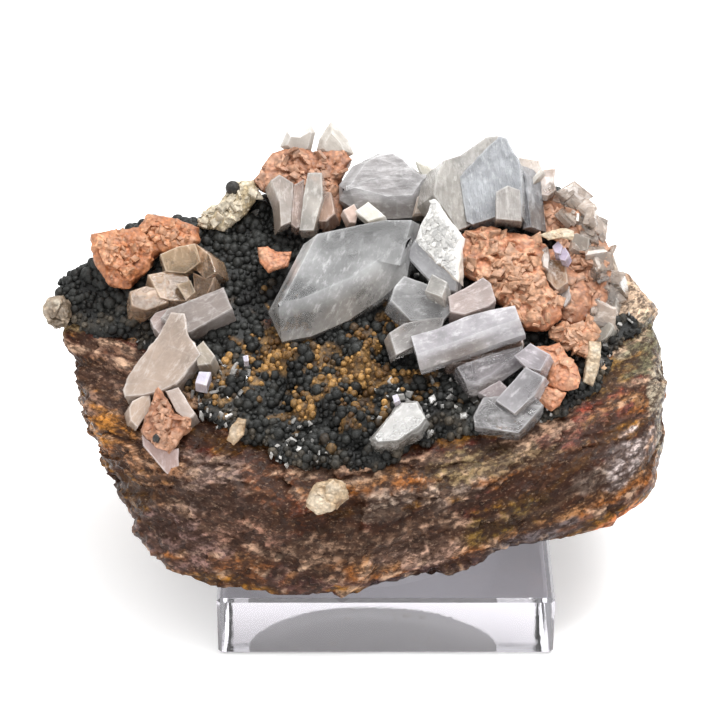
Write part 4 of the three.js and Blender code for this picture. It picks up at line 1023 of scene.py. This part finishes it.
def sprinkled_keep(points):
    """1 inside the sprinkled patches of the crust's covered side, 0 elsewhere."""
    across_up = (points @ SIGHT.T)[:, None, :2]
    near = np.linalg.norm(across_up - SPRINKLED[None, :, :2], axis=2) / SPRINKLED[:, 2]
    return bead_keep(points) * (near.min(1) + 0.4 * rolling(points, 2, 45) < 0.9)


CRUMBS_TRIED = 1500
CRUMBS_APART = 1.1
crumb_places = spread_on(crust_shape, CRUMBS_TRIED, CRUMBS_APART, 9, sprinkled_keep)
crumb_facing = way_out(crumb_places)
crumbs = set_tablets(crumb_places + 0.6 * crumb_facing, crumb_facing, 0.6, 0.3, 1.1, 46)
crystal_piece("small_crystals", crumbs, milky, None)

FLAKES = 260
FLAKE_CORNERS = np.array([[7.2, 55.4], [11, 49.7], [10.8, 43], [4.6, 49]])
FLAKE_MIDDLE = np.array([8.5, 48.3])
FLAKE_TOWARD = 18.62
FLAKE_LEAN = np.array([0.35, -0.2])
# The flakes are made lighter and their painted highlight four times stronger, a painted glint.
FLAKE_TONE_AND_GLINT = (1.2, 1.2, 1.2, 4)
flake_at = np.random.default_rng(47).dirichlet(np.full(4, 0.8), FLAKES) @ FLAKE_CORNERS
flake_face = FLAKE_TOWARD + (flake_at - FLAKE_MIDDLE) @ FLAKE_LEAN
flake_places = placed(np.column_stack([flake_at, flake_face]))
flakes = set_tablets(flake_places, placed([[*-FLAKE_LEAN, 1]]), 0.16, 0.2, 0.75, 48, FLAKE_TONE_AND_GLINT)
crystal_piece("plate_flakes", flakes, cloudy, None)

RIM_CRYSTALS = 84
RIM_PATH = np.array([[29.3, 55.7], [33.1, 50.7], [34.8, 46.1], [34.8, 40.3], [33.1, 35.7]])
# The rim crystals' warm tone; its fourth number lowers their painted highlight.
RIM_TONE = (1.02, 0.84, 0.72, 0.6)
rim_dice = np.random.default_rng(49)
along = rim_dice.uniform(0, 4, RIM_CRYSTALS)
rim_at = np.stack([np.interp(along, np.arange(5), RIM_PATH[:, i]) for i in (0, 1)], 1)
rim_at = rim_at + rim_dice.normal(0, 1.1, (RIM_CRYSTALS, 2)) + [-1.3, 0]
rim_face = 9.6 + 2.4 * step_up(along, 2.4, 4) - 0.45 * (rim_at[:, 1] - 46) * (along < 2.4)
rim_face = rim_face + rim_dice.normal(0, 0.4, RIM_CRYSTALS)
rim_places = placed(np.column_stack([rim_at, rim_face]))
rim_set = set_tablets(rim_places, placed([[0.4, 0.4, 0.7]]), 0.5, 1.1, 3.4, 50, RIM_TONE)
crystal_piece("rim_crystals", rim_set, milky, ["pale_tablets"])

# Orange bladed rosettes
# Baryte stained by iron: rough masses of small curved blades grown round a middle, matt and sugary, salmon on
# the crests and rust-brown in the creases, where the darkening is painted shade. Each mass is one growth.

# Inks of the creases, darkened as painted shade, of faces and of crests
ORANGE = [(156, 92, 58), (188, 124, 88), (206, 156, 122)]
BROWNER = [(124, 74, 46), (164, 110, 78), (192, 144, 114)]
RIM_COLUMNS = 150
FACE_PART = np.linspace(0.03, 0.97, 48)
# The first and last of a mass's points that may carry a blade: those on its face
BLADE_POINTS = (300, 7000)


def rim_of(outline):
    """An outline run the same way round for all, cut into equal steps along its length."""
    corners = np.array(outline, float)
    after = np.roll(corners, -1, 0)
    if (corners[:, 0] * after[:, 1] - after[:, 0] * corners[:, 1]).sum() < 0:
        corners = corners[::-1]
        after = np.roll(corners, -1, 0)
    ends = np.concatenate([[0], np.cumsum(np.linalg.norm(after - corners, axis=1))])
    closed = np.concatenate([corners, corners[:1]])
    at = np.linspace(0, ends[-1], RIM_COLUMNS, endpoint=False)
    return np.stack([np.interp(at, ends, closed[:, 0]), np.interp(at, ends, closed[:, 1])], 1)


def mass(outline, toward, lean, seed, inks, chips, thick=6):
    """A rough growth that fills an outline. Rings run from its middle out to its rim over a low dome, then
    turn back and close behind it. The face is broken into facets of two sizes, swells and grains, darker in
    the hollows and toward the rim as painted shade. Gives points, quads, triangles and tints."""
    rim = rim_of(outline)
    centre = rim.mean(0)
    out = np.concatenate([FACE_PART, [0.99, 1.0, 0.99, 0.95, 0.85, 0.6, 0.3]])[:, None]
    level = np.concatenate([0.3 * np.sqrt(1 - FACE_PART ** 3), [0.02, -0.1, -0.3, -0.5, -0.7, -0.85, -0.9]])
    flat = centre + (rim - centre) * out[..., None]
    face = toward + (flat - centre) @ np.array(lean) + thick * level[:, None]
    spots = placed(np.concatenate([flat, face[..., None]], 2)).reshape(-1, 3)
    side = (rim - centre) / np.linalg.norm(rim - centre, axis=1, keepdims=True)
    tilt = np.where(level[:, None] > 0, out ** 4, 1.0)[..., None]
    way = np.concatenate([side * tilt, np.broadcast_to(1 - tilt, (len(tilt), RIM_COLUMNS, 1))], 2)
    way = placed(way / np.linalg.norm(way, axis=2, keepdims=True)).reshape(-1, 3)
    relief = 0.3 * chips * (1.3 * chipped(spots, 2.1, seed) + chipped(spots, 0.95, seed + 20))
    relief = relief + 0.5 * rolling(spots, 2.8, seed + 41) + 0.1 * rolling(spots, 0.32, seed + 40)
    edge = np.broadcast_to(out, (len(out), RIM_COLUMNS)).ravel()
    shown = spots + way * (relief * (1 - 0.5 * edge ** 4))[:, None]
    middle = placed([*centre, toward + 0.3 * thick + relief[:RIM_COLUMNS].mean()])
    back = placed([*centre, toward - 0.9 * thick])
    shape = closed_from_rings(shown.reshape(len(out), RIM_COLUMNS, 3), middle, back)
    # Painted shade: the tint runs from the crease ink in the hollows and toward the rim to the crest ink on
    # what stands out.
    part = 0.6 + 0.8 * relief + 0.3 * rolling(spots, 0.8, seed + 3) + 0.25 * rolling(spots, 3.5, seed + 4)
    part = np.concatenate([[0.6], part - 0.3 * edge ** 8, [0]])
    deep, between, crest = [ink(*c) for c in inks]
    tint = mixed_tints(step_up(part, -0.25, 0.4), deep, between)
    return (*shape, mixed_tints(step_up(part, 0.4, 1.0), tint, crest))


def growth(name, masses, look, stands_for, inks=ORANGE, chips=1.0, blades=0, size=1.0, seed=1):
    """Several masses as one piece in the material of a look; the look's slot name is not used. Small blades
    may be set over their faces in the colour of the crests."""
    shapes = [mass(**one, inks=inks, chips=chips) for one in masses]
    if blades:
        crest = np.array(ink(*inks[2]))
        for i, shape in enumerate(shapes[:]):
            at = shape[0][1 + np.random.default_rng(seed + i).integers(*BLADE_POINTS, blades)]
            small = set_tablets(at, placed([[0, 0.5, 0.8]]), 0.5, 0.4 * size, 1.6 * size, seed + i)
            light = 0.5 + 0.7 * rolling(small[0], 1.1, seed)
            shapes.append((*small[:3], mixed_tints(light, crest * 0.62, crest)))
    shape = gathered(shapes)
    piece(name, shape[:3], look[0], stands_for, {"tint": shape[3]}, sharp=32)


def sugary(name, clear=0.05, coarse=1500):
    """Matt sugary growth: fine grains that catch the light, with the piece's own tint."""
    made, shader, place = finish(name, IOR=1.6, Transmission_Weight=clear)
    grains = place.cells(coarse)
    mottle = place.cloud(1100, 4, 0.65)
    grained = grains.ramped(0.1, 0.7).shade(place.painted("tint"), 1.14, 0.76)
    wear(shader, Base_Color=mottle.ramped(0.3, 0.7).shade(grained, 0.74, 1.24),
         Roughness=0.42 + mottle * 0.3, Normal=(grains * 0.6 + mottle * 0.6).raised(0.6, 0.0003))
    return made


ORANGE_LOOK = (sugary("orange_growth"), "orange_baryte")
BIG = [
    dict(outline=[[10.8, 48.7], [12, 50.5], [14.4, 51.4], [17, 51.4], [19.9, 50.5], [23.1, 49.6],
         [24.7, 48.4], [24, 44.7], [24.7, 42.3], [26.5, 40.5], [26.7, 37.7], [24.3, 35.5], [21.1, 35.3],
         [19.3, 37.4], [17.7, 39.3], [16.4, 40.2], [15, 42.6], [12.9, 43.2], [11.4, 44.1], [10.8, 46.2]],
         toward=14.5, lean=(0, -0.45), thick=7, seed=211),
    dict(outline=[[22.3, 56.1], [24.8, 57], [27.1, 56.9], [29.4, 56.1], [31.4, 53.5], [33.3, 50.8],
         [34.6, 48.4], [35.1, 45], [34.2, 41.6], [33.6, 37.5], [31.4, 35.7], [29.2, 36.9], [27.4, 40.3],
         [26.5, 42.6], [27.4, 46.2], [28, 49], [25.2, 50.2], [22.9, 52.4]], toward=7.4, lean=(0.2, -0.42),
         thick=7, seed=214),
    dict(outline=[[10.3, 47.9], [17.6, 49.5], [26.8, 47.9], [31.8, 41.8], [31.4, 37.2], [26.2, 35.7],
         [19.2, 37.2], [13, 41.8]], toward=10.5, lean=(0.1, -0.4), thick=7, seed=217)]
growth("orange_rosette_left", BIG[:1], ORANGE_LOOK, ["orange_rosette"], blades=170, seed=210)
growth("orange_rosette_right", BIG[1:], ORANGE_LOOK, ["orange_rosette"], BROWNER, blades=130, seed=220)
LOW = [
    dict(outline=[[25.1, 35.9], [27.1, 36.8], [29, 35.6], [30.9, 37.4], [31.9, 35.6], [31.5, 33.2],
         [30.6, 31.1], [28.7, 32], [26.6, 33.5], [24.8, 34.4]], toward=17.4, lean=(0.1, -0.5), thick=5,
         seed=251)]
growth("low_rosettes", LOW, ORANGE_LOOK, ["low_rosette"], blades=60, seed=250)
ORANGE_PLATE = [
    dict(outline=[[22.3, 33.1], [24.1, 33.3], [25.9, 33.9], [26.8, 32.2], [28.5, 30.2], [29, 28.4],
         [28.4, 26.9], [25.9, 26.3], [23.8, 27.5], [24.1, 29.9], [23.1, 31.3]], toward=23.6,
         lean=(0.1, -0.5), thick=3.4, seed=271),
    dict(outline=[[22.9, 27.5], [25.2, 26.9], [26.6, 26.2], [25.8, 24.4], [24.4, 23.5], [22.8, 24.5],
         [21.9, 25.7]], toward=25.2, lean=(0.1, -0.5), thick=3.4, seed=274)]
growth("orange_plates", ORANGE_PLATE, ORANGE_LOOK, ["orange_plate"], chips=0.6)
CROWN_ORANGE = [
    dict(outline=[[-20.6, 58.9], [-19.2, 61.5], [-17.5, 63.6], [-14.8, 64.7], [-11.4, 64], [-6.3, 64],
         [-4.9, 62.6], [-7, 58.9], [-6.3, 55.2], [-7, 52], [-9.8, 51.7], [-13.2, 52], [-17, 56.1],
         [-19.2, 57.7]], toward=1.5, lean=(0, -0.4), seed=291)]
growth("crown_orange", CROWN_ORANGE, ORANGE_LOOK, ["crown_rosette"], BROWNER, blades=90, seed=290)
LEFT_ORANGE = [
    dict(outline=[[-45, 50.3], [-41.2, 51.1], [-37.8, 51.3], [-34.5, 48], [-36.5, 44.7], [-38.8, 42],
         [-39.8, 41.7], [-42.2, 42.3], [-43.1, 43.7], [-44.8, 47]], toward=10.4, lean=(-0.2, -0.35),
         seed=311),
    dict(outline=[[-38.7, 51.1], [-36.4, 53.5], [-33, 53], [-28.7, 51.5], [-28.5, 49.3], [-30, 48],
         [-34.7, 47.6]], toward=7.6, lean=(0.1, -0.45), seed=314)]
LEFT_INKS = [(128, 70, 36), (178, 112, 70), (200, 144, 106)]
growth("left_orange", LEFT_ORANGE, ORANGE_LOOK, ["left_rosette"], LEFT_INKS, blades=40, size=0.7, seed=310)
LEFT_LOW = [
    dict(outline=[[-33.6, 26.9], [-32.3, 25.1], [-31.3, 23], [-29, 22.4], [-28.8, 20.9], [-30.3, 19.5],
         [-31.9, 17.5], [-33.6, 18.3], [-36, 20.8], [-35, 24]], toward=27.6, lean=(-0.05, -0.3), thick=4.4,
         seed=331)]
growth("left_low_orange", LEFT_LOW, ORANGE_LOOK, ["left_low_rosette"], BROWNER, blades=40, size=0.7, seed=330)
SALMON = [
    dict(outline=[[-19.4, 48.2], [-17.9, 48.4], [-16.8, 47.6], [-14.1, 47.7], [-14.8, 45.2], [-17.8, 44.4],
         [-19.1, 45.9]], toward=12.6, lean=(0, -0.6), thick=3.4, seed=351)]
growth("salmon_chunk", SALMON, ORANGE_LOOK, ["salmon_chip"], chips=0.5)

# Single dark beads caught on the growths: across, up, toward and radius
LONE_BEADS = np.array([[-23.7, 57.9, 3.2, 1.15], [-33.5, 19.6, 29.4, 0.7]])
lone_frames = flat_frames(np.repeat(LONE_BEADS[:, 3:], 3, 1))
lone_shape = repeated(ball_grid(12, 18), placed(LONE_BEADS[:, :3]), lone_frames)
lone_tint = np.tile(ink(52, 50, 48), (len(lone_shape[0]), 1))
piece("lone_beads", lone_shape, crust, None, {"tint": lone_tint})

# Cream and tan growths
# Sugary cream baryte at the upper left, the pale knob on the left end, and tan and cream chips on the
# crust, on the front wall and beside the orange mass. Each is one growth.
CREAM_LOOK = (sugary("cream_growth", 0.3, 1800), "cream_baryte")
CREAM = [(158, 128, 88), (214, 194, 156), (238, 224, 198)]
CREAM_PARTS = [
    dict(outline=[[-27.3, 51.4], [-26.5, 54.2], [-25.2, 56.4], [-23.6, 58.8], [-20.5, 59.3], [-19.5, 57.1],
         [-21.5, 54.1], [-24.9, 51.2]], toward=2.6, lean=(0, -0.3), thick=5, seed=371),
    dict(outline=[[-29.3, 52], [-28.4, 54.2], [-27, 55.4], [-25.6, 54.8], [-26.7, 51.4]], toward=2.2,
         lean=(-0.2, -0.3), thick=4, seed=374)]
growth("cream_mass", CREAM_PARTS, CREAM_LOOK, ["sugary_mass"], CREAM, blades=60, size=0.8, seed=370)
KNOB = [
    dict(outline=[[-52.3, 38.7], [-52, 40.3], [-51.1, 40.9], [-49.5, 41], [-48.3, 39.6], [-48.1, 37.5],
         [-48.9, 36.1], [-50.5, 35.7], [-51.8, 36.9]], toward=10.4, lean=(-0.2, -0.4), thick=5, seed=381)]
KNOB_INKS = [(104, 86, 64), (168, 148, 126), (200, 188, 168)]
growth("pale_knob", KNOB, CREAM_LOOK, ["left_knob"], KNOB_INKS)
CREAM_LATH = [
    dict(outline=[[30.5, 34], [32.4, 33.9], [32.1, 30.2], [30.9, 27.2], [29.4, 27.8], [30, 30.8]],
         toward=20.4, lean=(-0.2, -0.4), thick=3, seed=391),
    dict(outline=[[23.3, 50], [25.3, 50.8], [27.4, 51.1], [28.6, 50.6], [28.3, 49.2], [26.8, 49.5],
         [24.7, 49.2]], toward=15.4, lean=(0, -0.5), thick=1.6, seed=393)]
LATH_INKS = [(166, 130, 92), (214, 190, 158), (228, 214, 190)]
growth("cream_laths", CREAM_LATH, CREAM_LOOK, ["cream_lath"], LATH_INKS, chips=0.4)
TAN = [
    dict(outline=[[-23.3, 19.4], [-22.7, 21.1], [-21.7, 22.6], [-20.5, 22.3], [-20.8, 20.2], [-22.2, 18.5]],
         toward=30.2, lean=(0, -0.4), thick=2.4, seed=395)]
TAN_INKS = [(150, 112, 76), (196, 166, 130), (212, 190, 162)]
growth("tan_crystal", TAN, CREAM_LOOK, ["tan_chip"], TAN_INKS, chips=0.4)
CHUNK = [
    dict(outline=[[-11.1, 12], [-10.2, 13.4], [-7.6, 14], [-5.9, 13.1], [-5.6, 11.1], [-7.3, 9.4],
         [-9.9, 8.8], [-11.6, 10]], toward=34.6, lean=(0, -0.2), thick=4, seed=399)]
CHUNK_INKS = [(150, 118, 84), (200, 174, 140), (220, 202, 176)]
growth("cream_chunk", CHUNK, CREAM_LOOK, ["wall_chunk"], CHUNK_INKS, chips=0.7)

# Fluorite cubes
# Small see-through cubes of fluorite: yellowish ones on the left, clear ones on the crust, violet ones on
# the orange mass.
yellow_fluorite = crystal("fluorite_yellow", 0.5, 1.434)
pale_fluorite = crystal("fluorite_pale", 0.3, 1.434)
CUBES = [
    dict(outline=[[-34.3, 47.2], [-31.6, 48.4], [-29, 48.9], [-28.1, 46], [-30.4, 44.2], [-33.4, 44.5]],
         toward=12.6, lean=(-0.1, -0.2), thick=5, bevel=0.12, tint=(222, 190, 152), seed=151),
    dict(outline=[[-36.1, 44.1], [-33.3, 44.7], [-30, 43.8], [-28.9, 39.9], [-32.4, 40], [-34.2, 40.5]],
         toward=14, lean=(-0.2, -0.6), thick=5, bevel=0.12, tint=(208, 168, 128), seed=152),
    dict(outline=[[-29, 48.9], [-26.8, 47.2], [-25.8, 44.3], [-27.4, 43.3], [-28.9, 44.8]], toward=12,
         lean=(0.5, -0.3), thick=5, bevel=0.12, tint=(202, 160, 118), seed=154),
    dict(outline=[[-29.4, 44.5], [-27.3, 43.5], [-25.9, 43.8], [-27, 41], [-29, 39.9]], toward=13.2,
         lean=(0.3, -0.6), thick=5, bevel=0.12, tint=(196, 154, 114), seed=155),
    dict(outline=[[-38.7, 41.5], [-36.3, 42.3], [-33.5, 41.8], [-32.8, 39.8], [-36.1, 38.5], [-38.4, 39.2]],
         toward=15.4, lean=(-0.2, -0.5), thick=4.6, bevel=0.12, tint=(192, 152, 114), seed=153),
    dict(outline=[[-31.7, 42.6], [-29.6, 43.2], [-28.7, 41.4], [-30.2, 40.1]], toward=15.4, lean=(0.1, -0.4),
         thick=3, bevel=0.1, tint=(226, 200, 168), seed=156)]
grown("yellow_cubes", CUBES, yellow_fluorite, ["left_cubes"])
CLEAR = [
    dict(outline=[[-28.2, 27.7], [-27.7, 29.4], [-25.9, 29.3], [-26.5, 27.3]], toward=25, lean=(0, -0.6),
         thick=2.4, bevel=0.08, tint=(206, 200, 216), seed=161),
    dict(outline=[[-21.2, 31.6], [-20.4, 31.8], [-20.3, 30.9], [-21, 30.8]], toward=24.6, lean=(0, -0.6),
         thick=1.4, bevel=0.06, tint=(206, 200, 216), seed=162),
    dict(outline=[[0.9, 25.8], [1.6, 26.1], [2, 25.2], [1.2, 24.7]], toward=28.6, lean=(0.2, -0.5),
         thick=1.4, bevel=0.06, tint=(206, 200, 216), seed=163)]
grown("clear_cubes", CLEAR, pale_fluorite, ["clear_cube"])
VIOLET = [
    dict(outline=[[25.3, 48.3], [26.2, 49.2], [26.9, 48.3], [26.5, 47.1], [25.6, 47.3]], toward=15.6,
         lean=(0.2, -0.5), thick=2.2, bevel=0.12, tint=(196, 184, 206), seed=171),
    dict(outline=[[26.1, 47.1], [27.2, 48.2], [27.8, 47.1], [27.2, 46], [26.4, 46.2]], toward=16,
         lean=(0.3, -0.5), thick=2.2, bevel=0.12, tint=(196, 184, 206), seed=172)]
grown("violet_cubes", VIOLET, pale_fluorite, ["violet_fluorite"])
